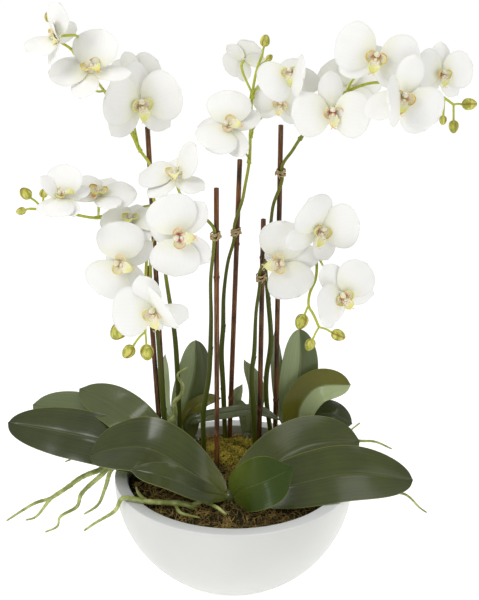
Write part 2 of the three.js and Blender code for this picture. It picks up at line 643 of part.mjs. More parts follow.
// The frame of a bloom: x to the viewer's right, y toward the upper sepal, z where it looks.
function bloomFrame({ at, yaw, pitch, roll }) {
  const turn = THREE.MathUtils.degToRad(yaw);
  const rise = THREE.MathUtils.degToRad(pitch);
  const spin = THREE.MathUtils.degToRad(roll);
  const look = new THREE.Vector3(
    Math.sin(turn) * Math.cos(rise), -Math.cos(turn) * Math.cos(rise), Math.sin(rise),
  );
  const right = UP.clone().cross(look).normalize().applyAxisAngle(look, -spin);
  const top = look.clone().cross(right);
  return { look, matrix: new THREE.Matrix4().makeBasis(right, top, look).setPosition(vec(at)) };
}

// Half the width of a petal or leaf along its length, against its greatest half width.
function outline(u, widest, base) {
  const reach = u < widest ? widest / Math.sqrt(1 - base * base) : (1 - widest) * TIP_ROUND;
  return Math.sqrt(1 - ((u - widest) / reach) ** 2);
}

// Rows of a petal or leaf lie closer together toward its tip.
const nearTip = (t) => 1 - (1 - t) ** TIP_CLOSE;

function tepalSolid(kind, angle, lift, size) {
  const turn = THREE.MathUtils.degToRad(angle);
  const out = new THREE.Vector3(Math.cos(turn), Math.sin(turn), 0);
  const along = new THREE.Vector3(-Math.sin(turn), Math.cos(turn), 0);
  const root = out.clone().multiplyScalar(TEPAL_ROOT).setZ(kind.layer);
  const hinge = THREE.MathUtils.degToRad(-lift);
  const reach = out.clone().applyAxisAngle(along, hinge);
  const normal = new THREE.Vector3(0, 0, 1).applyAxisAngle(along, hinge);
  return toSolid(blade(kind.rows, kind.columns, TEPAL_THICKNESS, (t, v) => {
    const u = nearTip(t);
    const half = 0.5 * kind.width * outline(u, kind.widest, kind.base);
    const depth = kind.rise * u - kind.bend * u * u - kind.dome * v * v * (half / kind.width);
    const point = root.clone()
      .addScaledVector(reach, kind.length * u)
      .addScaledVector(along, half * v)
      .addScaledVector(normal, depth)
      .multiplyScalar(size);
    return { point, normal: normal.clone() };
  }));
}

// The lip: its side lobes rise beside the column, its middle lobe hangs below.
function lipSolid(size) {
  const rows = LIP.length - 1;
  const normal = new THREE.Vector3(0, 0.6, 0.8);
  return toSolid(blade(rows, 2, LIP_THICKNESS, (u, v) => {
    const { middle, edge } = LIP[Math.round(u * rows)];
    const point = vec(middle).lerp(vec(edge), Math.abs(v));
    point.x *= Math.sign(v);
    return { point: point.multiplyScalar(size), normal };
  }));
}

function bloom(spec) {
  const { size, droop = 0, lift = {} } = spec;
  const profile = HEART.map(([r, z]) => new THREE.Vector2(r * size, z * size));
  const heart = toSolid(new THREE.LatheGeometry(profile, HEART_SIDES).rotateX(Math.PI / 2));
  const tepals = TEPALS.map(({ kind, angle, hang, place }) => (
    tepalSolid(kind, angle + hang * droop, lift[place] ?? 0, size)));
  return toGeometry(fuse([...tepals, heart, lipSolid(size)])).applyMatrix4(bloomFrame(spec).matrix);
}

// A spike: the main stem with its joints, a pedicel to each bloom, and the buds at the end.
function spikeRoute({ low, tie: tieName, high }) {
  const foot = [low[0][0], low[0][1], low[0][2] - STEM_DEPTH];
  const passing = [-TIE_HEIGHT, TIE_HEIGHT].map((above) => besideStake(tieName, above).stem.toArray());
  return [foot, ...low, ...passing, ...high];
}

function pedicelSolid(from, to, look) {
  const reach = to.distanceTo(vec(from));
  const curve = new THREE.CubicBezierCurve3(
    vec(from), vec(from).addScaledVector(UP, reach * PEDICEL_RISE),
    to.clone().addScaledVector(look, -reach * PEDICEL_BEND), to,
  );
  const route = curve.getPoints(PEDICEL_STEPS);
  route.push(to.clone().addScaledVector(look, PEDICEL_END));
  return tube(route.map((point) => point.toArray()), evenly(PEDICEL_RADIUS, PEDICEL_RADIUS), PEDICEL_SIDES);
}

function spike(spec) {
  const solids = [tube(spikeRoute(spec), evenly(STEM_RADIUS, STEM_TIP_RADIUS), STEM_SIDES)];
  Object.entries(spec.forks).forEach(([name, from]) => {
    const { look } = bloomFrame(BLOOMS[name]);
    const neck = NECK * BLOOMS[name].size + GAP + PEDICEL_END;
    solids.push(pedicelSolid(from, vec(BLOOMS[name].at).addScaledVector(look, -neck), look));
  });
  spec.buds.forEach(({ at, from, length }) => {
    const direction = vec(at).sub(vec(from)).normalize();
    const start = vec(from).addScaledVector(direction, -STALK_SINK);
    solids.push(budSolid(vec(at), direction, length, start));
  });
  return toGeometry(fuse(solids));
}

// A leaf: a thick blade with a channel along its midrib and a short point.
function leafSolid([x, y], { rib, face, width, channel }) {
  const outward = new THREE.Vector3(rib[0][0] - x, rib[0][1] - y, 0).setLength(CROWN_RADIUS / 2);
  const root = new THREE.Vector3(x, y, soilHeight(x, y) + CROWN_HEIGHT / 2).add(outward);
  const curve = new THREE.CatmullRomCurve3([root, ...rib.map(vec)], false, 'centripetal');
  const facing = vec(face).normalize();
  return toSolid(blade(LEAF_ROWS, LEAF_COLUMNS, LEAF_THICKNESS, (t, v) => {
    const u = nearTip(t);
    const half = 0.5 * width * outline(u, LEAF_WIDEST, LEAF_BASE);
    const tangent = curve.getTangentAt(u);
    const side = facing.clone().cross(tangent).normalize();
    const normal = tangent.clone().cross(side);
    const point = curve.getPointAt(u).addScaledVector(side, half * v);
    point.addScaledVector(normal, channel * half * Math.abs(v));
    return { point, normal };
  }));
}

function crownSolid([x, y]) {
  const profile = CROWN_PROFILE.map(([r, z]) => new THREE.Vector2(r, z));
  const geometry = new THREE.LatheGeometry(profile, CROWN_SIDES).rotateX(Math.PI / 2);
  return toSolid(geometry.translate(x, y, soilHeight(x, y)));
}

function plant({ crown, leaves }) {
  return toGeometry(fuse([crownSolid(crown), ...leaves.map((leaf) => leafSolid(crown, leaf))]));
}

function roots(strands) {
  return toGeometry(fuse(strands.map(({ route, thick, thin }) => (
    tube(route, evenly(thick, thin), ROOT_SIDES)))));
}

// The moss: a mat of uneven outline, cut below by the filling that it lies on.
function moss() {
  const filling = soilSolid().translate(0, 0, GAP);
  return toGeometry(fuse([matSolid().subtract(filling).subtract(holes())]));
}

function matSolid() {
  const profile = MOSS_PROFILE.map(([r, z]) => new THREE.Vector2(r * MOSS_RADIUS, z));
  const geometry = new THREE.LatheGeometry(profile, MOSS_SIDES).rotateX(Math.PI / 2);
  const position = geometry.getAttribute('position');
  for (let i = 0; i < position.count; i += 1) {
    const angle = Math.atan2(position.getY(i), position.getX(i));
    const ragged = 1 + MOSS_RAGGED * Math.sin(3 * angle + 0.8) + 0.5 * MOSS_RAGGED * Math.sin(7 * angle);
    const x = MOSS_CENTRE[0] + position.getX(i) * ragged * MOSS_STRETCH;
    const y = MOSS_CENTRE[1] + position.getY(i) * ragged;
    const lift = position.getZ(i) * (1 + MOSS_UNEVEN * Math.sin(0.21 * x + 0.33 * y));
    position.setXYZ(i, x, y, soilHeight(x, y) + lift);
  }
  return toSolid(geometry);
}

add('bowl', bowl(), 'ceramic');
add('soil', toGeometry(soilSolid().subtract(holes())), 'coir');
add('moss', moss(), 'moss');
Object.keys(STAKES).forEach((name) => add(name, stake(name), 'cane'));
Object.keys(TIES).forEach((name) => add(name, tie(name), 'raffia'));
Object.entries(SPIKES).forEach(([name, spec]) => add(name, spike(spec), 'stem'));
Object.entries(BLOOMS).forEach(([name, spec]) => add(name, bloom(spec), 'petal'));
Object.entries(PLANTS).forEach(([name, spec]) => add(name, plant(spec), 'leaf'));
Object.entries(ROOTS).forEach(([name, strands]) => add(name, roots(strands), 'root'));

export default orchid;
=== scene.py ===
"""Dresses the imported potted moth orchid: fine petals, leaves, stems, coir, moss and their finishes.

Lengths in the tables are millimetres, as in the part's source; meshes are built in metres.
"""

import logging
import math
import random
from contextlib import contextmanager
from dataclasses import dataclass, field
from enum import Enum
from functools import lru_cache
from typing import Callable, Iterator, Mapping, Optional, Protocol, Sequence, Union

import bpy
from mathutils import Matrix, Vector, kdtree, noise


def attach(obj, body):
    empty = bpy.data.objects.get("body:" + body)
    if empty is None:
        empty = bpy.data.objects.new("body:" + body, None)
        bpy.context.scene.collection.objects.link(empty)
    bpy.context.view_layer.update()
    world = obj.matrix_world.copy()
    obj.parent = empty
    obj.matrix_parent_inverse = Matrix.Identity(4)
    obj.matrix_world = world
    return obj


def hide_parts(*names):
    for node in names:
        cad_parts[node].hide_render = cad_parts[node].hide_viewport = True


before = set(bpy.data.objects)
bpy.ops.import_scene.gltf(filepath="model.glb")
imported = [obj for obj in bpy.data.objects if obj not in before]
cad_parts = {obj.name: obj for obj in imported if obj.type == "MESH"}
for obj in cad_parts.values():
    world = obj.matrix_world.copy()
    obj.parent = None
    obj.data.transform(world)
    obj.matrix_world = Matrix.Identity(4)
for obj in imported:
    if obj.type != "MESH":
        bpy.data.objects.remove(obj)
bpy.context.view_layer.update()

LOG = logging.getLogger("orchid")
MM = 0.001
SEED = 11
FULL_TURN = 2.0 * math.pi
UP = Vector((0.0, 0.0, 1.0))

# How a smooth route is sampled: points between two given ones, and the least gaps that count.
FINE_STEPS = 24
CLOSEST = 1e-4
SHORTEST = 1e-9

Point = Sequence[float]
Colour = Sequence[float]
Place = Callable[[float, float], Vector]


class Px:
    """One shader socket; arithmetic on it adds Math nodes."""

    def __init__(self, kit: "Kit", socket: bpy.types.NodeSocket) -> None:
        self.kit = kit
        self.socket = socket

    def _math(self, operation: str, first: "Value", second: "Value") -> "Px":
        """Adds one Math node over two values and gives its result."""
        return self.kit.node("ShaderNodeMath", {"operation": operation}, {0: first, 1: second})

    def __add__(self, other: "Value") -> "Px":
        """Sum."""
        return self._math("ADD", self, other)

    def __radd__(self, other: "Value") -> "Px":
        """Sum, from the right."""
        return self._math("ADD", other, self)

    def __sub__(self, other: "Value") -> "Px":
        """Difference."""
        return self._math("SUBTRACT", self, other)

    def __rsub__(self, other: "Value") -> "Px":
        """Difference, from the right."""
        return self._math("SUBTRACT", other, self)

    def __mul__(self, other: "Value") -> "Px":
        """Product."""
        return self._math("MULTIPLY", self, other)

    def __rmul__(self, other: "Value") -> "Px":
        """Product, from the right."""
        return self._math("MULTIPLY", other, self)

    def wave(self) -> "Px":
        """Sine of the value."""
        return self._math("SINE", self, 0.0)

    def size(self) -> "Px":
        """Distance of the value from nought."""
        return self._math("ABSOLUTE", self, 0.0)

    def over(self, limit: float, soft: float) -> "Px":
        """A mask that rises from 0 at limit - soft to 1 at limit + soft."""
        ends = {1: limit - soft, 2: limit + soft}
        return self.kit.node("ShaderNodeMapRange", {"interpolation_type": "SMOOTHSTEP"}, {0: self, **ends})


Value = Union[Px, float]


class Kit:
    """Builds the nodes of one material."""

    def __init__(self, name: str) -> None:
        """Starts an empty node tree.

        Args:
            name: the material's name.
        """
        self.material = bpy.data.materials.new(name)
        self.material.use_nodes = True
        self.tree = self.material.node_tree
        self.tree.nodes.clear()

    def node(self, kind: str, settings: Mapping[str, object], inputs: Mapping[Union[int, str], object],
             output: Union[int, str] = 0) -> Px:
        """Adds one node.

        Args:
            kind: the node's type.
            settings: its properties, set first.
            inputs: a value or a link for each input, by name or number.
            output: the output that is used.

        Returns:
            The output's socket.
        """
        made = self.tree.nodes.new(kind)
        for key, value in settings.items():
            setattr(made, key, value)
        for key, value in inputs.items():
            if isinstance(value, Px):
                self.tree.links.new(value.socket, made.inputs[key])
            else:
                made.inputs[key].default_value = value
        return Px(self, made.outputs[output])

    def place(self) -> Px:
        """Object coordinates."""
        return self.node("ShaderNodeTexCoord", {}, {}, "Object")

    def axis(self, vector: Px, name: str) -> Px:
        """One component of a vector."""
        return self.node("ShaderNodeSeparateXYZ", {}, {0: vector}, name)

    def uv(self) -> Px:
        """The piece's own UV map."""
        return self.node("ShaderNodeTexCoord", {}, {}, "UV")

    def trait(self, name: str) -> Px:
        """A number that each vertex carries."""
        return self.node("ShaderNodeAttribute", {"attribute_name": name}, {}, "Fac")

    def stretched(self, vector: Px, scale: Point) -> Px:
        """A vector with its three axes scaled."""
        return self.node("ShaderNodeMapping", {}, {"Vector": vector, "Scale": tuple(scale)})

    def cloud(self, vector: Px, scale: float, detail: float = 3.0) -> Px:
        """Noise between 0 and 1."""
        inputs = {"Vector": vector, "Scale": scale, "Detail": detail}
        return self.node("ShaderNodeTexNoise", {}, inputs, 0)

    def cells(self, vector: Px, scale: float) -> Px:
        """Distance to the nearest of scattered points."""
        return self.node("ShaderNodeTexVoronoi", {}, {"Vector": vector, "Scale": scale}, "Distance")

    def mix(self, factor: Value, first: Union[Px, Colour], second: Union[Px, Colour]) -> Px:
        """A colour between two colours.

        Args:
            factor: 0 for the first colour, 1 for the second.
            first: the first colour.
            second: the second colour.

        Returns:
            The mixed colour.
        """
        sides = [c if isinstance(c, Px) else (*c, 1.0) for c in (first, second)]
        inputs = {0: factor, 6: sides[0], 7: sides[1]}
        return self.node("ShaderNodeMix", {"data_type": "RGBA"}, inputs, 2)

    def bump(self, height: Px, depth: float) -> Px:
        """A normal that follows a height; a height of 1 is worth the depth, in metres."""
        return self.node("ShaderNodeBump", {}, {"Height": height, "Distance": depth, "Strength": 1.0})

    def finish(self, colour: Union[Px, Colour], roughness: Value, normal: Optional[Px] = None,
               **fixed: object) -> bpy.types.Material:
        """Closes the tree with the surface.

        Args:
            colour: the base colour.
            roughness: the roughness.
            normal: the bumped normal, if any.
            **fixed: other sockets, with an underscore for each space.

        Returns:
            The finished material.
        """
        inputs = {key.replace("_", " "): value for key, value in fixed.items()}
        inputs["Base Color"] = colour if isinstance(colour, Px) else (*colour, 1.0)
        inputs["Roughness"] = roughness
        if normal is not None:
            inputs["Normal"] = normal
        surface = self.node("ShaderNodeBsdfPrincipled", {}, inputs)
        output = self.tree.nodes.new("ShaderNodeOutputMaterial")
        self.tree.links.new(surface.socket, output.inputs["Surface"])
        return self.material


class Finish(Protocol):
    """A finish that can make its own material."""

    def make(self) -> bpy.types.Material:
        """Makes the material."""


@dataclass(frozen=True)
class PetalFinish:
    """Soft white petals: faint veins that run along them, a cream throat, and painted shade along the edges
    and tip.
    """

    name: str = "petal"
    white: Colour = (0.875, 0.868, 0.834)
    throat: Colour = (0.83, 0.83, 0.66)
    shade: Colour = (0.80, 0.805, 0.775)
    # Painted shade: the darker line along the petal's edges and tip.
    margin: Colour = (0.72, 0.715, 0.68)
    vein_count: float = 70.0
    vein_depth: float = 0.00009

    def make(self) -> bpy.types.Material:
        """Makes the material.

        Returns:
            The finished material.
        """
        kit = Kit(self.name)
        uv = kit.uv()
        across = kit.axis(uv, "X")
        along = kit.axis(uv, "Y")
        place = kit.place()
        drift = kit.cloud(place, 60.0) * 2.2
        ribs = (across * self.vein_count + drift).wave() * 0.5 + 0.5
        crumple = kit.cloud(kit.stretched(place, (1.0, 1.0, 0.5)), 95.0, 4.0)
        colour = kit.mix(along.over(0.16, 0.16), self.throat, self.white)
        colour = kit.mix((1.0 - ribs) * 0.12, colour, self.shade)
        colour = kit.mix(kit.cloud(place, 34.0).over(0.62, 0.2) * 0.35, colour, self.shade)
        # Painted shade along the edges and the tip, standing in for the shading of curled petal edges.
        rim = (across * 2.0 - 1.0).size().over(0.93, 0.07) + along.over(0.96, 0.04)
        colour = kit.mix(rim * 0.4, colour, self.margin)
        normal = kit.bump(ribs * 0.3 + crumple * 1.4, self.vein_depth)
        return kit.finish(colour, 0.52, normal, Subsurface_Weight=0.25, Subsurface_Scale=0.004,
                          Subsurface_Radius=(1.0, 0.95, 0.75), Specular_IOR_Level=0.3)


@dataclass(frozen=True)
class LipFinish:
    """A lip: cream at its base, yellow-green lobes, a tinted edge and small dark dots."""

    name: str
    lobe: Colour
    edge: Colour
    edge_width: float
    throat: Colour
    dots: float
    cream: Colour = (0.82, 0.78, 0.60)
    dot: Colour = (0.32, 0.04, 0.02)

    def make(self) -> bpy.types.Material:
        """Makes the material.

        Returns:
            The finished material.
        """
        kit = Kit(self.name)
        place = kit.place()
        along = kit.axis(kit.uv(), "Y")
        uneven = kit.cloud(place, 260.0) - 0.5
        reach = along + uneven * 0.45
        colour = kit.mix(reach.over(0.16, 0.12), self.throat, self.cream)
        colour = kit.mix(reach.over(0.5, 0.2), colour, self.lobe)
        patch = kit.cloud(place, 110.0).over(0.5, 0.12) * 0.85 + 0.15
        colour = kit.mix(reach.over(1.0 - self.edge_width, 0.09) * patch, colour, self.edge)
        spots = 1.0 - kit.cells(place, 620.0).over(0.27, 0.06)
        inner = (1.0 - along.over(0.5, 0.2)) * self.dots
        colour = kit.mix(spots * inner, colour, self.dot)
        normal = kit.bump(kit.cloud(place, 700.0), 0.0002)
        return kit.finish(colour, 0.45, normal, Subsurface_Weight=0.2, Subsurface_Scale=0.003)


class LipTint(Enum):
    """The lips of the bloom, from nearly white to dark at the edge."""

    LEMON = LipFinish("lip_lemon", (0.74, 0.76, 0.24), (0.78, 0.66, 0.28), 0.06, (0.80, 0.60, 0.36), 0.7)
    PEACH = LipFinish("lip_peach", (0.80, 0.78, 0.36), (0.82, 0.52, 0.34), 0.16, (0.82, 0.62, 0.42), 0.4)
    RUST = LipFinish("lip_rust", (0.72, 0.72, 0.20), (0.64, 0.24, 0.08), 0.16, (0.76, 0.46, 0.18), 0.5)
    ROSE = LipFinish("lip_rose", (0.78, 0.76, 0.36), (0.72, 0.28, 0.20), 0.18, (0.72, 0.22, 0.14), 0.25)
    SPOTTED = LipFinish("lip_spotted", (0.70, 0.70, 0.20), (0.66, 0.36, 0.14), 0.10, (0.72, 0.44, 0.20), 1.0)


@dataclass(frozen=True)
class ColumnFinish:
    """The column and the middle of a lip: ivory, faintly yellow in cloudy patches."""

    name: str = "column"
    ivory: Colour = (0.84, 0.82, 0.72)
    hollow: Colour = (0.76, 0.72, 0.34)
    blush: Colour = (0.74, 0.50, 0.36)

    def make(self) -> bpy.types.Material:
        """Makes the material.

        Returns:
            The finished material.
        """
        kit = Kit(self.name)
        place = kit.place()
        along = kit.axis(kit.uv(), "Y")
        colour = kit.mix(kit.cloud(place, 180.0).over(0.55, 0.12) * 0.6, self.ivory, self.hollow)
        colour = kit.mix(along.over(0.84, 0.1) * 0.5, colour, self.blush)
        normal = kit.bump(kit.cloud(place, 500.0), 0.0002)
        return kit.finish(colour, 0.42, normal, Subsurface_Weight=0.2, Subsurface_Scale=0.003)


@dataclass(frozen=True)
class LeafFinish:
    """A waxy leaf: parallel veins, a sunken midrib, thin yellow-green edges, cloudy sheen and paler
    grey-green parts; on one leaf these are painted sheen.
    """

    name: str
    dark: Colour
    light: Colour
    fresh: Colour = (0.025, 0.050, 0.006)
    lime: Colour = (0.10, 0.13, 0.015)
    olive: Colour = (0.165, 0.160, 0.018)
    midrib: Colour = (0.11, 0.135, 0.04)
    # A paler grey-green over whole leaves or one half of them; on one leaf it is painted sheen.
    pale_and_sheen: Colour = (0.41, 0.49, 0.25)
    margin: Colour = (0.24, 0.26, 0.05)
    vein_count: float = 60.0
    vein_depth: float = 0.00020
    roughness: float = 0.40
    wax: float = 0.7

    def make(self) -> bpy.types.Material:
        """Makes the material.

        Returns:
            The finished material.
        """
        kit = Kit(self.name)
        uv = kit.uv()
        across = kit.axis(uv, "X") * 2.0 - 1.0
        along = kit.axis(uv, "Y")
        place = kit.place()
        blotch = kit.cloud(place, 22.0, 4.0)
        streak = kit.cloud(kit.node("ShaderNodeCombineXYZ", {}, {0: across * 14.0, 1: along * 1.6}), 1.0)
        tone = kit.trait("tone")
        colour = kit.mix((blotch * 0.7 + streak * 0.5 + tone - 0.55).over(0.3, 0.45), self.dark, self.light)
        colour = kit.mix(tone.over(0.5, 0.1) * 0.8, colour, self.fresh)
        colour = kit.mix((0.0 - tone).over(0.3, 0.1) * 0.8, colour, self.olive)
        ribs = (across * self.vein_count + kit.cloud(place, 30.0) * 1.5).wave() * 0.5 + 0.5
        half = kit.trait("half")
        # Where the pale and half traits ask, the leaf turns paler grey-green; on the leaf whose pale is 0.25
        # this is painted sheen.
        pale_and_sheen_mask = kit.trait("pale") + (across * half).over(0.0, 0.1) * half.size()
        colour = kit.mix(pale_and_sheen_mask * (streak * 0.5 + 0.7), colour, self.pale_and_sheen)
        colour = kit.mix((1.0 - ribs) * 0.10, colour, self.dark)
        colour = kit.mix((1.0 - across.size().over(0.02, 0.02)) * 0.5, colour, self.midrib)
        colour = kit.mix(across.size().over(0.985, 0.012) * 0.6, colour, self.margin)
        colour = kit.mix((1.0 - along.over(0.09, 0.09)) * 0.35, colour, self.margin)
        young = (1.0 - (along + across * 0.15 + (blotch - 0.5) * 0.3).over(0.22, 0.26)) * tone.over(0.5, 0.1)
        colour = kit.mix(young * 0.8, colour, self.lime)
        grain = kit.cloud(place, 420.0)
        normal = kit.bump(ribs * 0.5 + streak * 2.4 + grain * 0.3 + blotch * 5.0, self.vein_depth)
        sheen = blotch * 0.16 + (self.roughness - 0.06)
        wax = self.wax - tone.over(0.5, 0.1) * (self.wax * 0.8)
        return kit.finish(colour, sheen, normal, Specular_IOR_Level=0.12, Coat_Weight=wax,
                          Coat_Roughness=0.17, Coat_IOR=1.5)


@dataclass(frozen=True)
class StemFinish:
    """A stem: dark olive where it is old, bright yellow-green near the blooms, with fine streaks."""

    name: str = "stem"
    old: Colour = (0.064, 0.080, 0.006)
    young: Colour = (0.48, 0.52, 0.065)

    def make(self) -> bpy.types.Material:
        """Makes the material.

        Returns:
            The finished material.
        """
        kit = Kit(self.name)
        place = kit.place()
        streaks = kit.cloud(kit.stretched(place, (1.0, 1.0, 0.12)), 620.0)
        age = kit.trait("young") + (kit.cloud(place, 18.0) - 0.5) * 0.4
        colour = kit.mix(age.over(0.70, 0.3), self.old, self.young)
        colour = kit.mix(streaks.over(0.6, 0.12) * 0.3, colour, self.old)
        normal = kit.bump(streaks, 0.0003)
        return kit.finish(colour, 0.42, normal, Specular_IOR_Level=0.2)


@dataclass(frozen=True)
class BudFinish:
    """A bud: yellow-green with seams between its sepals that turn brown toward the tip."""

    name: str = "bud"
    green: Colour = (0.30, 0.33, 0.024)
    pale: Colour = (0.66, 0.62, 0.13)
    seam: Colour = (0.26, 0.11, 0.02)

    def make(self) -> bpy.types.Material:
        """Makes the material.

        Returns:
            The finished material.
        """
        kit = Kit(self.name)
        place = kit.place()
        clouds = kit.cloud(kit.stretched(place, (1.0, 1.0, 0.3)), 260.0)
        colour = kit.mix(clouds.over(0.50, 0.14), self.green, self.pale)
        seam = kit.trait("seam") + (kit.cloud(place, 500.0) - 0.5) * 0.5
        colour = kit.mix(seam.over(0.42, 0.3) * 0.85, colour, self.seam)
        return kit.finish(colour, 0.42, kit.bump(clouds, 0.0004))


@dataclass(frozen=True)
class CaneFinish:
    """Stained cane: reddish brown streaks along the stake, darker in places."""

    name: str = "cane"
    red: Colour = (0.135, 0.046, 0.013)
    brown: Colour = (0.036, 0.018, 0.008)
    straw: Colour = (0.36, 0.17, 0.05)

    def make(self) -> bpy.types.Material:
        """Makes the material.

        Returns:
            The finished material.
        """
        kit = Kit(self.name)
        place = kit.place()
        fibre = kit.cloud(kit.stretched(place, (1.0, 1.0, 0.05)), 900.0, 5.0)
        patch = kit.cloud(place, 26.0)
        colour = kit.mix(patch.over(0.5, 0.14), self.red, self.brown)
        colour = kit.mix(fibre.over(0.56, 0.08) * 0.5, colour, self.straw)
        return kit.finish(colour, fibre * 0.2 + 0.38, kit.bump(fibre, 0.0004), Specular_IOR_Level=0.25)


@dataclass(frozen=True)
class FibreFinish:
    """Loose fibre: coir, moss or raffia, with each strand its own tone."""

    name: str
    dark: Colour
    light: Colour
    scale: float = 160.0
    roughness: float = 0.85

    def make(self) -> bpy.types.Material:
        """Makes the material.

        Returns:
            The finished material.
        """
        kit = Kit(self.name)
        place = kit.place()
        clump = kit.cloud(place, self.scale, 4.0)
        strand = kit.cloud(kit.stretched(place, (1.0, 1.0, 2.5)), self.scale * 8.0)
        colour = kit.mix((clump * 0.6 + strand * 0.6).over(0.6, 0.2), self.dark, self.light)
        return kit.finish(colour, self.roughness, kit.bump(strand, 0.0006), Specular_IOR_Level=0.15)


@dataclass(frozen=True)
class RootFinish:
    """An aerial root: grey-green skin with paler patches."""

    name: str = "root"
    green: Colour = (0.21, 0.25, 0.055)
    pale: Colour = (0.54, 0.58, 0.215)

    def make(self) -> bpy.types.Material:
        """Makes the material.

        Returns:
            The finished material.
        """
        kit = Kit(self.name)
        place = kit.place()
        skin = kit.cloud(place, 90.0, 4.0)
        fine = kit.cloud(kit.stretched(place, (0.25, 1.0, 1.0)), 900.0)
        colour = kit.mix((skin * 0.8 + fine * 0.3).over(0.58, 0.16), self.green, self.pale)
        return kit.finish(colour, 0.6, kit.bump(fine + skin, 0.0006))


@dataclass(frozen=True)
class CeramicFinish:
    """Satin white glaze with a very faint unevenness, and painted light: a slightly lighter band on the
    rim's top.
    """

    name: str = "ceramic"
    white: Colour = (0.64, 0.647, 0.624)
    grey: Colour = (0.61, 0.617, 0.594)
    # Painted light: the rim's top is coloured a little lighter than the body.
    band: Colour = (0.66, 0.668, 0.66)
    rim: float = 0.1262

    def make(self) -> bpy.types.Material:
        """Makes the material.

        Returns:
            The finished material.
        """
        kit = Kit(self.name)
        place = kit.place()
        clouds = kit.cloud(place, 9.0)
        colour = kit.mix(clouds.over(0.5, 0.2), self.white, self.grey)
        # Above the rim height the glaze turns to the lighter band: painted light on the rim's top.
        colour = kit.mix(kit.axis(place, "Z").over(self.rim, 0.0008), colour, self.band)
        normal = kit.bump(kit.cloud(place, 160.0), 0.00008)
        return kit.finish(colour, clouds * 0.08 + 0.36, normal, Specular_IOR_Level=0.45)


@dataclass(frozen=True)
class FloorFinish:
    """A plain pale floor that glows a little, as a light table does."""

    name: str = "floor"
    pale: Colour = (0.90, 0.90, 0.90)
    warm: Colour = (0.89, 0.89, 0.885)
    glow: float = 0.56

    def make(self) -> bpy.types.Material:
        """Makes the material.

        Returns:
            The finished material.
        """
        kit = Kit(self.name)
        colour = kit.mix(kit.cloud(kit.place(), 2.0), self.pale, self.warm)
        return kit.finish(colour, 0.8, Emission_Color=colour, Emission_Strength=self.glow)


PETAL = PetalFinish()
COLUMN = ColumnFinish()
LEAF_TOP = LeafFinish("leaf_top", (0.024, 0.033, 0.004), (0.068, 0.084, 0.014))
LEAF_UNDER = LeafFinish("leaf_under", (0.10, 0.14, 0.040), (0.21, 0.26, 0.10), midrib=(0.34, 0.40, 0.20),
                        roughness=0.5)
STEM = StemFinish()
BUD = BudFinish()
CANE = CaneFinish()
ROOT = RootFinish()
COIR = FibreFinish("coir", (0.006, 0.005, 0.002), (0.055, 0.042, 0.012))
COIR_FIBRE = FibreFinish("coir_fibre", (0.030, 0.021, 0.007), (0.48, 0.33, 0.105), scale=60.0)
MOSS = FibreFinish("moss", (0.012, 0.010, 0.002), (0.085, 0.078, 0.014))
MOSS_TUFT = FibreFinish("moss_tuft", (0.046, 0.034, 0.004), (0.72, 0.58, 0.085), scale=55.0)
RAFFIA = FibreFinish("raffia", (0.36, 0.24, 0.11), (0.72, 0.56, 0.33), scale=300.0)


def deselect() -> None:
    """Leaves nothing selected, so that an operator acts on its own piece alone."""
    if bpy.context.object is not None and bpy.context.object.mode != "OBJECT":
        bpy.ops.object.mode_set(mode="OBJECT")
    bpy.ops.object.select_all(action="DESELECT")


def pick(*pieces: bpy.types.Object) -> None:
    """Selects some pieces alone.

    Args:
        *pieces: the pieces, the first one to be active.
    """
    deselect()
    for piece in pieces:
        piece.select_set(True)
    bpy.context.view_layer.objects.active = pieces[0]


@contextmanager
def editing(piece: bpy.types.Object) -> Iterator[None]:
    """Opens a piece in edit mode, with all of it selected, and closes it again.

    Args:
        piece: the piece.

    Yields:
        Nothing; the edits are made while it is open.
    """
    pick(piece)
    bpy.ops.object.mode_set(mode="EDIT")
    bpy.ops.mesh.select_all(action="SELECT")
    yield
    bpy.ops.object.mode_set(mode="OBJECT")


def raise_rings(start: float, rings: Sequence[tuple[float, float]]) -> None:
    """Extrudes the selected disc, which lies at height 0, ring by ring.

    Args:
        start: the disc's radius.
        rings: the radius and the height of each ring.
    """
    reach, level = start, 0.0
    for radius, z in rings:
        grow = radius / reach
        bpy.ops.mesh.extrude_region_move(TRANSFORM_OT_translate={"value": (0.0, 0.0, z - level)})
        bpy.ops.transform.resize(value=(grow, grow, 1.0), center_override=(0.0, 0.0, z))
        reach, level = radius, z


def modify(piece: bpy.types.Object, kind: str, **settings: object) -> None:
    """Adds one modifier and applies it.

    Args:
        piece: the piece.
        kind: the modifier's type.
        **settings: its properties.
    """
    pick(piece)
    modifier = piece.modifiers.new(kind.title(), kind)
    for key, value in settings.items():
        setattr(modifier, key, value)
    bpy.ops.object.modifier_apply(modifier=modifier.name)


@lru_cache(maxsize=None)
def paint(finish: Finish) -> bpy.types.Material:
    """Makes the material of a finish, once."""
    return finish.make()


def dress(piece: bpy.types.Object, *finishes: Finish) -> None:
    """Gives a piece its finishes.

    Args:
        piece: the piece.
        *finishes: its finishes, in the order of its slots.
    """
    piece.data.materials.clear()
    for finish in finishes:
        piece.data.materials.append(paint(finish))


def joined(name: str, pieces: Sequence[bpy.types.Object]) -> bpy.types.Object:
    """Joins pieces into one object.

    Args:
        name: the object's name.
        pieces: what is joined; each keeps its materials.

    Returns:
        The joined object.
    """
    pick(*pieces)
    if len(pieces) > 1:
        bpy.ops.object.join()
    whole = bpy.context.view_layer.objects.active
    whole.name = name
    whole.data.name = name
    return whole


def smooth(piece: bpy.types.Object, degrees: float = 40.0) -> None:
    """Shades a piece smooth, apart from edges sharper than an angle."""
    pick(piece)
    bpy.ops.object.shade_smooth_by_angle(angle=math.radians(degrees))


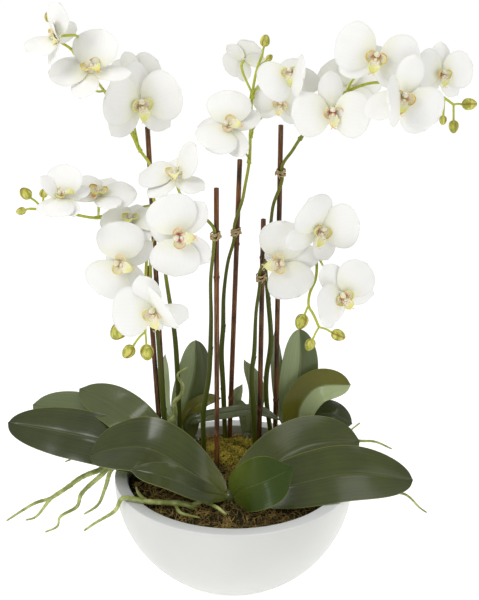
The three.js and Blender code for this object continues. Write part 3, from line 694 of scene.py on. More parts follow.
def stand_in(piece: bpy.types.Object, slot: str, *nodes: str) -> None:
    """Puts a finished piece in the place of its nodes and reports it.

    Args:
        piece: the finished piece.
        slot: the record's material slot; not used.
        *nodes: the nodes that it stands for.
    """
    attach(piece, "root")
    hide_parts(*nodes)
    LOG.info("%s: %d faces for %s", piece.name, len(piece.data.polygons), ", ".join(nodes))


def sheet(name: str, rows: int, columns: int, place: Place) -> bpy.types.Object:
    """A sheet shaped from a grid.

    Args:
        name: the sheet's name.
        rows: faces along it.
        columns: faces across it.
        place: gives the point for the way along (0 to 1) and across (-1 to 1).

    Returns:
        The sheet, with its grid as UV map.
    """
    deselect()
    bpy.ops.mesh.primitive_grid_add(x_subdivisions=columns, y_subdivisions=rows, size=2.0)
    grid = bpy.context.object
    grid.name = name
    for vertex in grid.data.vertices:
        vertex.co = place((vertex.co.y + 1.0) / 2.0, vertex.co.x)
    return grid


def thicken(piece: bpy.types.Object, thickness: float, thin_edge: float = 1.0) -> None:
    """Gives a sheet its thickness, with its back as the next material slot.

    Args:
        piece: the sheet.
        thickness: in metres.
        thin_edge: the thickness of the edge against that of the middle.
    """
    body = piece.vertex_groups.new(name="body")
    uv = piece.data.uv_layers.active.data
    for loop in piece.data.loops:
        x, y = uv[loop.index].uv
        inside = min(1.0, 4.0 * min(x, 1.0 - x), 5.0 * (1.0 - y) + 0.1)
        body.add([loop.vertex_index], inside, "REPLACE")
    modify(piece, "SOLIDIFY", thickness=thickness, offset=0.0, vertex_group="body",
           thickness_vertex_group=thin_edge, material_offset=1)
    piece.vertex_groups.clear()


def note(piece: bpy.types.Object, name: str, values: Sequence[float]) -> None:
    """Stores a number on each vertex.

    Args:
        piece: the piece.
        name: what the number is called.
        values: one number for each vertex, or a single one for all.
    """
    trait = piece.data.attributes.new(name, "FLOAT", "POINT")
    count = len(piece.data.vertices)
    trait.data.foreach_set("value", list(values) * count if len(values) == 1 else list(values))


@dataclass
class Strand:
    """A round strand: its points in millimetres, and its radius at each of them."""

    points: Sequence[Point]
    radii: Sequence[float]


def tubes(name: str, strands: Sequence[Strand], roundness: int, ends: bool = True) -> bpy.types.Object:
    """Round tubes along routes, as one mesh.

    Args:
        name: the piece's name.
        strands: the routes with their radii.
        roundness: 0 for four sides, with two more for each step.
        ends: closes the ends.

    Returns:
        The mesh object.
    """
    curve = bpy.data.curves.new(name, "CURVE")
    curve.dimensions = "3D"
    curve.bevel_depth = MM
    curve.bevel_resolution = roundness
    curve.use_fill_caps = ends
    for strand in strands:
        spline = curve.splines.new("POLY")
        spline.points.add(len(strand.points) - 1)
        for dot, point, radius in zip(spline.points, strand.points, strand.radii):
            dot.co = (point[0] * MM, point[1] * MM, point[2] * MM, 1.0)
            dot.radius = radius
        spline.use_smooth = True
    piece = bpy.data.objects.new(name, curve)
    bpy.context.scene.collection.objects.link(piece)
    pick(piece)
    bpy.ops.object.convert(target="MESH")
    return bpy.context.view_layer.objects.active


def eased(points: Sequence[Point], steps: int) -> list[Vector]:
    """A smooth route through points, evenly split by length.

    Args:
        points: the points in order.
        steps: the number of stretches.

    Returns:
        One more point than steps.
    """
    given = [Vector(p) for p in points]
    fence = [given[0] * 2 - given[1], *given, given[-1] * 2 - given[-2]]
    fine: list[Vector] = []
    for k in range(1, len(fence) - 2):
        four = fence[k - 1:k + 3]
        knots = [0.0]
        for p, q in zip(four, four[1:]):
            knots.append(knots[-1] + max(math.sqrt((q - p).length), CLOSEST))
        for i in range(FINE_STEPS):
            t = knots[1] + (knots[2] - knots[1]) * i / FINE_STEPS
            fine.append(between(four, knots, t))
    fine.append(given[-1])
    lengths = [0.0]
    for p, q in zip(fine, fine[1:]):
        lengths.append(lengths[-1] + (q - p).length)
    route = []
    k = 0
    for i in range(steps + 1):
        goal = lengths[-1] * i / steps
        while k < len(fine) - 2 and lengths[k + 1] < goal:
            k += 1
        span = max(lengths[k + 1] - lengths[k], SHORTEST)
        route.append(fine[k].lerp(fine[k + 1], min(1.0, (goal - lengths[k]) / span)))
    return route


def between(points: Sequence[Vector], knots: Sequence[float], t: float) -> Vector:
    """A point of the smooth route between the second and the third of four points.

    Args:
        points: the four points.
        knots: the knot value at each of them.
        t: the knot value of the wanted point.

    Returns:
        The point.
    """
    a, b, c, d = points

    def lean(p: Vector, q: Vector, low: float, high: float) -> Vector:
        """Blends two points by where the knot value lies."""
        return p.lerp(q, (t - low) / (high - low))

    ab = lean(a, b, knots[0], knots[1])
    bc = lean(b, c, knots[1], knots[2])
    cd = lean(c, d, knots[2], knots[3])
    return lean(lean(ab, bc, knots[0], knots[2]), lean(bc, cd, knots[1], knots[3]), knots[1], knots[2])


def outline(u: float, widest: float, base: float, sharp: float) -> float:
    """Half the width of a petal or leaf along its length, against its greatest half width.

    Args:
        u: the way along, 0 at the base and 1 at the tip.
        widest: where it is widest.
        base: its width at the base.
        sharp: the share of the tip that stays round before it runs to a point.

    Returns:
        A share of the greatest half width.
    """
    if u < widest:
        away = (u - widest) / (widest / math.sqrt(1.0 - base * base))
    else:
        away = (u - widest) / ((1.0 - widest) * sharp)
    if away < sharp:
        return math.sqrt(max(0.0, 1.0 - away * away))
    return max(0.0, 1.0 - sharp * away) / math.sqrt(1.0 - sharp * sharp)


@dataclass
class Bowl:
    """The round white bowl: a smooth wall on a flat foot, with a flat rim band; in metres."""

    height: float = 0.128
    radius: float = 0.140
    foot: float = 0.060
    rim: float = 0.015
    wall: float = 0.010
    floor: float = 0.012
    rounding: float = 0.0012
    sides: int = 128
    steps: int = 28
    finish: CeramicFinish = CeramicFinish()

    def outer(self) -> list[tuple[float, float]]:
        """The outside, from the foot to the rim.

        Returns:
            Its radius and height at each ring.
        """
        start = math.asin(self.foot / self.radius)
        line = []
        for i in range(self.steps + 1):
            angle = start + (math.pi / 2 - start) * i / self.steps
            z = self.height * (1.0 - math.cos(angle) / math.cos(start))
            line.append((self.radius * math.sin(angle), z))
        return line

    def inner(self) -> list[tuple[float, float]]:
        """The inside, from the rim to the floor.

        Returns:
            Its radius and height at each ring.
        """
        line = []
        for x, z in reversed(self.outer()):
            wall = self.wall + (self.rim - self.wall) * z / self.height
            if z > self.floor:
                line.append((x - wall, z))
        return [*line, (line[-1][0] * 0.9, self.floor)]

    def build(self) -> bpy.types.Object:
        """Extrudes the wall ring by ring from the foot, then rounds its edges.

        Returns:
            The finished bowl.
        """
        deselect()
        bpy.ops.mesh.primitive_circle_add(vertices=self.sides, radius=self.foot, fill_type="NGON")
        bowl = bpy.context.object
        with editing(bowl):
            raise_rings(self.foot, [*self.outer()[1:], *self.inner()])
            bpy.ops.mesh.select_all(action="SELECT")
            bpy.ops.mesh.normals_make_consistent(inside=False)
        modify(bowl, "BEVEL", width=self.rounding, segments=3, limit_method="ANGLE",
               angle_limit=math.radians(35))
        smooth(bowl, 35.0)
        dress(bowl, self.finish)
        bowl.name = "glazed_bowl"
        stand_in(bowl, "ceramic", "bowl")
        return bowl


@dataclass
class Filling:
    """The coir in the bowl with its loose fibres, and the moss mat on it."""

    edge: float = 116.0
    radius: float = 123.0
    crown: float = 7.0
    bump: float = 1.6
    rings: int = 90
    sides: int = 160
    fibre_count: int = 2200
    moss_centre: tuple[float, float] = (14.0, 62.0)
    moss_radius: float = 40.0
    moss_stretch: float = 1.25
    moss_height: float = 6.0
    moss_ragged: float = 0.12
    tuft_count: int = 4200
    clearance: float = 0.3
    shoulder: float = 4.0
    fade: float = 6.0
    fibre_step: float = 4.2
    fibre_points: int = 5
    tuft_points: int = 4

    def height(self, x: float, y: float) -> float:
        """Height of the filling's top over a place.

        Args:
            x: the place to the right, in millimetres.
            y: the place to the back, in millimetres.

        Returns:
            The height in millimetres.
        """
        swell = self.crown * (1.0 - (x * x + y * y) / self.radius ** 2)
        lumps = math.sin(x * 0.19 + 1.3) * math.cos(y * 0.23 - 0.4) + 0.5 * math.sin(x * 0.41 - y * 0.37)
        return self.edge + swell + self.bump * lumps

    def crumb(self, x: float, y: float) -> float:
        """Small unevenness of the top, in millimetres."""
        at = Vector((x, y, 0.0))
        return 1.5 * noise.noise(at * 0.12) + 1.0 * noise.noise(at * 0.35) + 0.5 * noise.noise(at * 0.9)

    def coir(self, rng: random.Random) -> bpy.types.Object:
        """The filling: its side follows the wall, its top is crumbled, loose fibres lie on it.

        Args:
            rng: scatters the fibres.

        Returns:
            The finished filling.
        """
        deselect()
        bpy.ops.mesh.primitive_circle_add(vertices=self.sides, radius=1.0, fill_type="NGON")
        body = bpy.context.object
        wall = reversed(Bowl(steps=10).inner()[:-1])
        side = [(x / MM - self.clearance, z / MM + self.clearance) for x, z in wall]
        side = [(r, z) for r, z in side if z < self.edge - self.shoulder]
        top = [(self.radius * (1.0 - i / self.rings), self.edge) for i in range(self.rings)]
        with editing(body):
            raise_rings(1.0, [(r * MM, z * MM) for r, z in [*side, *top]])
        floor = side[0][1] * MM
        for vertex in body.data.vertices:
            if vertex.co.z > (self.edge - 1.0) * MM:
                x, y = vertex.co.x / MM, vertex.co.y / MM
                fade = min(1.0, (self.radius - math.hypot(x, y)) / self.fade)
                vertex.co.z = (self.height(x, y) + self.crumb(x, y) * max(fade, 0.0)) * MM
            elif vertex.co.z < floor:
                vertex.co = Vector((vertex.co.x * side[0][0] * MM, vertex.co.y * side[0][0] * MM, floor))
        with editing(body):
            bpy.ops.mesh.remove_doubles(threshold=1e-6)
            bpy.ops.mesh.normals_make_consistent(inside=False)
        smooth(body, 60.0)
        fibres = tubes("fibres", [self.fibre(rng) for _ in range(self.fibre_count)], 0, False)
        dress(body, COIR)
        dress(fibres, COIR_FIBRE)
        whole = joined("coir_filling", [body, fibres])
        stand_in(whole, "coir", "soil")
        return whole

    def fibre(self, rng: random.Random) -> Strand:
        """One loose coir fibre lying on the filling.

        Args:
            rng: gives its place, its bends and its thickness.

        Returns:
            The fibre.
        """
        angle = rng.uniform(0.0, FULL_TURN)
        reach = self.radius * math.sqrt(rng.random()) * 0.96
        x, y = reach * math.cos(angle), reach * math.sin(angle)
        heading = rng.uniform(0.0, FULL_TURN)
        points = []
        lift = rng.uniform(0.0, 4.5) ** 1.1
        for i in range(self.fibre_points):
            if math.hypot(x, y) > self.radius - 2.0:
                break
            arch = lift * math.sin(math.pi * i / (self.fibre_points - 1)) + rng.uniform(0.2, 1.1)
            points.append((x, y, self.height(x, y) + self.crumb(x, y) + arch))
            heading += rng.uniform(-0.7, 0.7)
            x += self.fibre_step * math.cos(heading)
            y += self.fibre_step * math.sin(heading)
        while len(points) < 2:
            x, y = x * 0.96, y * 0.96
            points.append((x, y, self.height(x, y) + 0.5))
        return Strand(points, [rng.uniform(0.22, 0.5)] * len(points))

    def ragged(self, angle: float) -> float:
        """How far the mat's uneven edge reaches in a direction, against its radius."""
        return 1.0 + self.moss_ragged * (math.sin(3 * angle + 0.8) + 0.5 * math.sin(7 * angle))

    def in_mat(self, x: float, y: float) -> float:
        """How far inside the moss mat a place lies: 1 at its middle, 0 at its edge, less outside."""
        dx, dy = (x - self.moss_centre[0]) / self.moss_stretch, y - self.moss_centre[1]
        return 1.0 - math.hypot(dx, dy) / (self.moss_radius * self.ragged(math.atan2(dy, dx)))

    def moss_lift(self, x: float, y: float) -> float:
        """Height of the mat above the filling.

        Args:
            x: the place to the right, in millimetres.
            y: the place to the back, in millimetres.

        Returns:
            The height in millimetres.
        """
        inside = min(1.0, max(0.0, self.in_mat(x, y)) / 0.4)
        rough = 1.0 + 0.25 * math.sin(0.21 * x + 0.33 * y) + 0.3 * noise.noise(Vector((x, y, 3.0)) * 0.25)
        return self.moss_height * math.sqrt(inside) * rough

    def mat(self, rng: random.Random) -> bpy.types.Object:
        """The moss: a low cushion with thousands of short tufts.

        Args:
            rng: scatters the tufts.

        Returns:
            The finished mat.
        """
        reach = self.moss_radius * 1.5

        def place(u: float, v: float) -> Vector:
            """Lays the sheet over the mat's outline as a disc.

            Args:
                u: the way round.
                v: the way out from the middle, -1 to 1.

            Returns:
                The point.
            """
            angle = FULL_TURN * u
            spread = (v + 1.0) / 2.0 * self.moss_radius
            ragged = self.ragged(angle)
            x = self.moss_centre[0] + spread * ragged * self.moss_stretch * math.cos(angle)
            y = self.moss_centre[1] + spread * ragged * math.sin(angle)
            return Vector((x, y, self.height(x, y) + self.moss_lift(x, y) - 0.4)) * MM

        cushion = sheet("cushion", 120, 34, place)
        with editing(cushion):
            bpy.ops.mesh.remove_doubles(threshold=1e-5)
            bpy.ops.mesh.normals_make_consistent(inside=False)
        modify(cushion, "SOLIDIFY", thickness=0.0015, offset=-1.0)
        tufts = []
        while len(tufts) < self.tuft_count:
            x = self.moss_centre[0] + rng.uniform(-1.0, 1.0) * reach * self.moss_stretch
            y = self.moss_centre[1] + rng.uniform(-1.0, 1.0) * reach
            if self.in_mat(x, y) > rng.uniform(-0.45, 0.02) and math.hypot(x, y) < self.radius - 8.0:
                tufts.append(self.tuft(x, y, rng))
        blades = tubes("tufts", tufts, 0, False)
        dress(cushion, MOSS)
        dress(blades, MOSS_TUFT)
        whole = joined("moss_mat", [cushion, blades])
        stand_in(whole, "moss", "moss")
        return whole

    def tuft(self, x: float, y: float, rng: random.Random) -> Strand:
        """One short blade of moss.

        Args:
            x: its place to the right, in millimetres.
            y: its place to the back, in millimetres.
            rng: gives its direction and length.

        Returns:
            The blade.
        """
        base = self.height(x, y) + self.moss_lift(x, y) - 0.5
        heading = rng.uniform(0.0, FULL_TURN)
        length = rng.uniform(2.0, 6.5)
        points = []
        for i in range(self.tuft_points):
            t = i / (self.tuft_points - 1)
            aside = length * t * t * 0.9
            at = (x + aside * math.cos(heading), y + aside * math.sin(heading))
            points.append((*at, base + length * t * 0.7))
        return Strand(points, [0.45, 0.42, 0.36, 0.15])


FILLING = Filling()


@dataclass
class Stake:
    """One cane stake, its swollen joints and cut top, and the raffia tie round it."""

    name: str
    foot: Point
    top: Point
    tie: str
    tie_height: float
    side: tuple[float, float]
    radius: float = 3.0
    depth: float = 42.0
    joint_first: float = 60.0
    joint_spacing: float = 200.0
    joint_swell: float = 0.8
    joint_reach: float = 3.0
    joint_ring: Sequence[tuple[float, float]] = (
        (-2.2, 0.1), (-0.9, 0.75), (-0.2, 0.45), (0.3, 0.8), (2.0, 0.1),
    )
    steps: int = 60
    stem_radius: float = 2.4
    stem_gap: float = 0.4
    tie_length: float = 9.0
    turns: int = 5
    turn_points: int = 28

    def line(self) -> tuple[Vector, Vector, float]:
        """The stake's line above the filling.

        Returns:
            Its start at the filling, its direction and its length from there.
        """
        start = Vector((self.foot[0], self.foot[1], FILLING.edge))
        run = Vector(self.top) - start
        return start, run.normalized(), run.length

    def beside(self, above: float) -> tuple[Vector, Vector]:
        """Where the stake and the stem beside it pass a height.

        Args:
            above: the height above the tie's middle.

        Returns:
            The point on the stake's axis and the one on the stem's axis.
        """
        start, direction, _ = self.line()
        axis = start + direction * ((self.tie_height + above - start.z) / direction.z)
        aside = Vector((*self.side, 0.0)).normalized()
        return axis, axis + aside * (self.radius + self.stem_radius + self.stem_gap)

    def build(self, rng: random.Random) -> bpy.types.Object:
        """The cane, round along its line.

        Args:
            rng: makes its thickness slightly uneven.

        Returns:
            The finished stake.
        """
        start, direction, length = self.line()
        last = length - self.joint_first / 2
        spacing = self.joint_spacing
        rings = [(-self.depth, self.radius)]
        for i in range(1, self.steps + 1):
            at = length * i / self.steps
            off = (at - self.joint_first + spacing / 2) % spacing - spacing / 2
            swell = self.joint_swell * math.exp(-(off / self.joint_reach) ** 2) if at < last else 0.0
            rings.append((at, self.radius * (0.97 + 0.03 * rng.random()) + swell))
        joint = self.joint_first
        while joint < last:
            rings.extend((joint + offset, self.radius + swell) for offset, swell in self.joint_ring)
            joint += spacing
        rings.sort()
        route = Strand([start + direction * at for at, _ in rings], [radius for _, radius in rings])
        cane = tubes("cane", [route], 5)
        smooth(cane, 50.0)
        dress(cane, CANE)
        whole = joined(self.name.replace("stake", "cane_stake"), [cane])
        stand_in(whole, "cane", self.name)
        return whole

    def wrap(self, rng: random.Random) -> bpy.types.Object:
        """The tie: raffia wound round the stake and the stem, with a small knot and two cut ends.

        Args:
            rng: makes its turns and ends uneven.

        Returns:
            The finished tie.
        """
        axis, stem = self.beside(0.0)
        _, direction, _ = self.line()
        along = stem - axis
        reach = along.length
        along = (along - direction * along.dot(direction)).normalized()
        across = direction.cross(along)
        strands = []
        for k in range(self.turns):
            level = (k / (self.turns - 1) - 0.5) * (self.tie_length - 2.6) + rng.uniform(-0.5, 0.5)
            points = []
            grow = self.radius + 0.75 + rng.uniform(0.0, 0.35)
            tilt = rng.uniform(-1.3, 1.3)
            for i in range(self.turn_points + 1):
                angle = FULL_TURN * i / self.turn_points
                x = grow * math.cos(angle) + (reach if math.cos(angle) > 0 else 0.0)
                y = grow * math.sin(angle)
                points.append(axis + along * x + across * y + direction * (level + tilt * math.sin(angle)))
            strands.append(Strand(points, [rng.uniform(0.62, 0.82)] * len(points)))
        front = across if across.y < 0 else -across
        knot = axis + along * (reach * 0.5) + front * (self.radius + 1.2)
        for sign in (-1.0, 1.0):
            points = [knot, knot + front * 1.2 + along * sign * 2.0 + direction * 1.0,
                      knot + front * 1.0 + along * sign * 4.5 - direction * rng.uniform(1.0, 3.0),
                      knot + along * sign * 6.0 - direction * rng.uniform(3.5, 6.0)]
            strands.append(Strand(eased(points, 8), [0.8] * 6 + [0.6, 0.5, 0.3]))
        loop = [knot + front * 0.6 + along * (1.7 * math.cos(a)) + direction * (1.7 * math.sin(a))
                for a in (FULL_TURN * i / 10 for i in range(11))]
        strands.append(Strand(loop, [1.0] * 11))
        tie = tubes("raffia", strands, 1)
        smooth(tie, 60.0)
        dress(tie, RAFFIA)
        whole = joined(self.tie.replace("tie", "raffia_tie"), [tie])
        stand_in(whole, "raffia", self.tie)
        return whole


class Tepal(Enum):
    """The two kinds of petal: length, width, widest, base, sharpness, layer, rise, bend, dome, ruffle."""

    PETAL = (42.0, 53.0, 0.56, 0.07, 0.985, 2.2, 7.0, 9.0, 5.0, 2.2)
    SEPAL = (41.0, 29.0, 0.52, 0.10, 0.93, -1.0, 5.0, 9.0, 4.0, 1.0)


TEPALS = (
    (Tepal.SEPAL, 90.0, 0.0, "dorsal"),
    (Tepal.SEPAL, 222.0, 0.0, "lower"),
    (Tepal.SEPAL, 318.0, 0.0, "lower"),
    (Tepal.PETAL, 16.0, -1.0, "right"),
    (Tepal.PETAL, 164.0, 1.0, "left"),
)


# The middle lobe of the lip: height and reach along its middle line, and half its width there.
LOBE_LINE = ((-1.5, 3.4), (-5.4, 8.0), (-10.4, 11.0), (-14.8, 10.8), (-18.2, 8.8))
LOBE_WIDTHS = (2.6, 4.6, 6.4, 4.2, 1.6)

# One of the two tendrils at its tip.
TENDRIL = ((0.8, -17.6, 9.2), (2.4, -19.4, 9.6), (3.6, -18.8, 11.6), (2.8, -16.8, 12.8))

# Round parts on the bloom's axis: places along it, each with its radius.
HEART = ((-5.0, 2.6), (-3.0, 3.9), (0.0, 4.2), (3.0, 3.6), (4.6, 2.0))
NECK = ((-11.0, 1.7), (-8.0, 1.8), (-5.5, 2.6), (-4.0, 2.4))


@dataclass
class Bloom:
    """One bloom: three sepals, two broad petals, a lip with its lobes, and the column."""

    name: str
    at: Point
    yaw: float
    pitch: float
    roll: float
    size: float
    tint: LipTint
    droop: float = 0.0
    lift: Mapping[str, float] = field(default_factory=dict)
    root: float = 2.4
    thickness: float = 0.7
    lobe_thickness: float = 0.9
    ear_thickness: float = 0.8
    rows: int = 26
    columns: int = 22

    def look(self) -> Vector:
        """The direction in which the bloom looks."""
        turn, rise = math.radians(self.yaw), math.radians(self.pitch)
        return Vector((math.sin(turn) * math.cos(rise), -math.cos(turn) * math.cos(rise), math.sin(rise)))

    def matrix(self) -> Matrix:
        """The bloom's frame.

        Returns:
            Its place and turn: x to the viewer's right, y to the upper sepal, z where it looks.
        """
        look = self.look()
        spin = Matrix.Rotation(-math.radians(self.roll), 3, look)
        right = spin @ UP.cross(look).normalized()
        top = look.cross(right)
        turned = Matrix((right, top, look)).transposed().to_4x4()
        return Matrix.Translation(Vector(self.at) * MM) @ turned

    def tepal(self, kind: Tepal, angle: float, lift: float, rng: random.Random) -> bpy.types.Object:
        """One petal or sepal.

        Args:
            kind: which of the two.
            angle: its direction in the bloom, in degrees.
            lift: how far it is raised forward at its base, in degrees.
            rng: gives its ruffles.

        Returns:
            The thickened blade.
        """
        length, width, widest, base, sharp, layer, rise, bend, dome, ruffle = kind.value
        turn = math.radians(angle)
        out = Vector((math.cos(turn), math.sin(turn), 0.0))
        along = Vector((-math.sin(turn), math.cos(turn), 0.0))
        hinge = Matrix.Rotation(-math.radians(lift), 3, along)
        reach = hinge @ out
        normal = hinge @ UP
        start = out * self.root + UP * layer
        phase = [rng.uniform(0.0, FULL_TURN) for _ in range(4)]
        lean = rng.uniform(-0.06, 0.06)
        twist = rng.uniform(-0.13, 0.13)
        curl = rng.uniform(-3.0, 3.5)

        def place(t: float, v: float) -> Vector:
            """The blade's middle surface.

            Args:
                t: the way along, 0 at the base and 1 at the tip.
                v: the way across, -1 to 1.

            Returns:
                The point in the bloom's frame.
            """
            u = 1.0 - (1.0 - t) ** 2.0
            half = 0.5 * width * outline(u, widest, base, sharp)
            half *= 1.0 + 0.018 * math.sin(5.0 * u + phase[3] + (1.5 if v > 0 else 0.0))
            depth = rise * u - bend * u * u - dome * v * v * (half / width)
            edge = abs(v) ** 3
            wave = math.sin(6.0 * u + phase[0] + 2.0 * v) + 0.6 * math.sin(11.0 * u + phase[1] - 3.0 * v)
            depth += ruffle * 0.5 * edge * wave * u + twist * half * v * u + curl * u ** 3
            depth += 0.5 * ruffle * (u ** 3) * math.sin(3.0 * v + phase[2])
            depth -= 0.25 * math.exp(-(v / 0.12) ** 2) * (1.0 - u)
            aside = half * (v + lean * u * (1 - v * v))
            return (start + reach * (length * u) - along * aside + normal * depth) * self.size * MM

        blade = sheet("blade", self.rows, self.columns, place)
        thicken(blade, self.thickness * MM, 0.55)
        return blade

    def side_lobe(self, side: float) -> bpy.types.Object:
        """A side lobe of the lip: an ear that stands beside the column.

        Args:
            side: -1 for the left one, 1 for the right one.

        Returns:
            The thickened ear.
        """
        def place(u: float, v: float) -> Vector:
            """The ear's middle surface.

            Args:
                u: the way along.
                v: the way across, -1 to 1.

            Returns:
                The point in the bloom's frame.
            """
            turn = math.radians(2.0 + 62.0 * v)
            grow = 0.45 + 0.55 * math.sqrt(max(0.0, 1.0 - (v * 0.95) ** 2))
            radius = 2.6 + 8.6 * grow * math.sin(1.2 * u * math.pi / 2)
            x = side * radius * math.cos(turn)
            y = -1.2 + radius * 0.86 * math.sin(turn)
            return Vector((x, y, 3.4 + 7.4 * u ** 0.8 + 0.9 * math.sin(5.0 * v) * u)) * self.size * MM

        ear = sheet("ear", 12, 14, place)
        thicken(ear, self.ear_thickness * MM, 0.6)
        return ear

    def middle_lobe(self) -> bpy.types.Object:
        """The middle lobe: it widens to two corners, then runs to a blunt tip.

        Returns:
            The thickened lobe.
        """
        def place(u: float, v: float) -> Vector:
            """The lobe's middle surface.

            Args:
                u: the way along.
                v: the way across, -1 to 1.

            Returns:
                The point in the bloom's frame.
            """
            along = u * (len(LOBE_LINE) - 1)
            k = min(int(along), len(LOBE_LINE) - 2)
            t = along - k
            ease = t * t * (3.0 - 2.0 * t)
            y = LOBE_LINE[k][0] + (LOBE_LINE[k + 1][0] - LOBE_LINE[k][0]) * t
            z = LOBE_LINE[k][1] + (LOBE_LINE[k + 1][1] - LOBE_LINE[k][1]) * t
            half = LOBE_WIDTHS[k] + (LOBE_WIDTHS[k + 1] - LOBE_WIDTHS[k]) * ease
            fold = 2.6 * v * v * (1.0 - 0.5 * u)
            return Vector((half * v, y + 0.8 * v * v, z + fold)) * self.size * MM

        lobe = sheet("lobe", 16, 10, place)
        thicken(lobe, self.lobe_thickness * MM, 0.6)
        return lobe

    def tendrils(self) -> bpy.types.Object:
        """Two fine tendrils at the tip of the middle lobe.

        Returns:
            Both of them.
        """
        strands = []
        for side in (-1.0, 1.0):
            points = [(x * side, y, z) for x, y, z in TENDRIL]
            route = [Vector(p) * self.size for p in eased(points, 8)]
            strands.append(Strand(route, [0.42 - 0.03 * i for i in range(9)]))
        return tubes("tendrils", strands, 1)

    def knob(self, name: str, centre: Point, radii: Point) -> bpy.types.Object:
        """A rounded knob, such as the anther cap or the callus.

        Args:
            name: its name.
            centre: its middle in the bloom's frame.
            radii: its three radii.

        Returns:
            The knob.
        """
        deselect()
        scale = self.size * MM
        bpy.ops.mesh.primitive_uv_sphere_add(segments=14, ring_count=9, radius=1.0)
        knob = bpy.context.object
        knob.name = name
        for vertex in knob.data.vertices:
            pinch = 1.0 - 0.16 * vertex.co.z - 0.08 * math.cos(3.0 * math.atan2(vertex.co.y, vertex.co.x))
            vertex.co = Vector((
                centre[0] + vertex.co.x * radii[0] * pinch,
                centre[1] + vertex.co.y * radii[1] * pinch,
                centre[2] + vertex.co.z * radii[2],
            )) * scale
        return knob

    def turned(self, name: str, profile: Sequence[tuple[float, float]]) -> bpy.types.Object:
        """A round body on the bloom's axis, from places along it, each with its radius."""
        points = [Vector((0.0, 0.0, z)) * self.size for z, _ in profile]
        return tubes(name, [Strand(points, [r * self.size for _, r in profile])], 4)

    def build(self, rng: random.Random) -> bpy.types.Object:
        """All of the bloom, joined.

        Args:
            rng: gives each petal its own ruffles.

        Returns:
            The finished bloom.
        """
        pieces = []
        for kind, angle, hang, side in TEPALS:
            blade = self.tepal(kind, angle + hang * self.droop, self.lift.get(side, 0.0), rng)
            dress(blade, PETAL)
            pieces.append(blade)
        for side in (-1.0, 1.0):
            ear = self.side_lobe(side)
            dress(ear, self.tint.value)
            pieces.append(ear)
        for piece in (self.middle_lobe(), self.tendrils()):
            dress(piece, self.tint.value)
            pieces.append(piece)
        callus = self.knob("callus", (0.0, -3.4, 8.6), (2.0, 1.7, 2.6))
        cap = self.knob("cap", (0.0, 2.0, 7.4), (3.3, 3.0, 5.2))
        heart = self.turned("heart", HEART)
        for piece in (callus, cap, heart):
            dress(piece, COLUMN)
            pieces.append(piece)
        neck = self.turned("neck", NECK)
        note(neck, "young", [1.0])
        dress(neck, STEM)
        whole = joined(self.name.replace("bloom", "orchid_bloom"), [*pieces, neck])
        whole.data.transform(self.matrix())
        with editing(whole):
            bpy.ops.mesh.normals_make_consistent(inside=False)
        smooth(whole, 50.0)
        stand_in(whole, "petal", self.name)
        return whole


@dataclass
class Bud:
    """One bud with its stalk."""

    at: Point
    start: Point
    length: float
    slim: float = 0.40
    flat: float = 0.94
    stalk_radius: float = 1.25

    def build(self) -> list[bpy.types.Object]:
        """The egg with three seams, and the stalk that carries it.

        Returns:
            The egg and the stalk.
        """
        at, start = Vector(self.at), Vector(self.start)
        axis = (at - start).normalized()
        deselect()
        bpy.ops.mesh.primitive_uv_sphere_add(segments=24, ring_count=16, radius=1.0)
        egg = bpy.context.object
        egg.name = "bud"
        turned = UP.rotation_difference(axis)
        half = self.length / 2.0
        seams = []
        for vertex in egg.data.vertices:
            around = math.atan2(vertex.co.y, vertex.co.x)
            groove = max(0.0, math.cos(3.0 * around)) ** 6
            seams.append(groove * 0.8 + max(0.0, vertex.co.z - 0.75) * 2.4)
            tall = vertex.co.z
            wide = self.slim * (1.0 - 0.16 * tall) * (1.0 - 0.05 * groove)
            local = Vector((vertex.co.x * wide, vertex.co.y * wide * self.flat, tall * 0.5)) * self.length
            vertex.co = (at + turned @ local) * MM
        note(egg, "seam", seams)
        dress(egg, BUD)
        end = at - axis * half * 0.92
        bow = Vector((0.0, 0.0, 0.08)) * (end - start).length
        route = eased([start - axis, start.lerp(end, 0.5) + bow, end, end + axis * 2.0], 10)
        radii = [self.stalk_radius + 0.05 * max(0, i - 7) for i in range(11)]
        stalk = tubes("stalk", [Strand(route, radii)], 2)
        dress(stalk, STEM)
        return [egg, stalk]


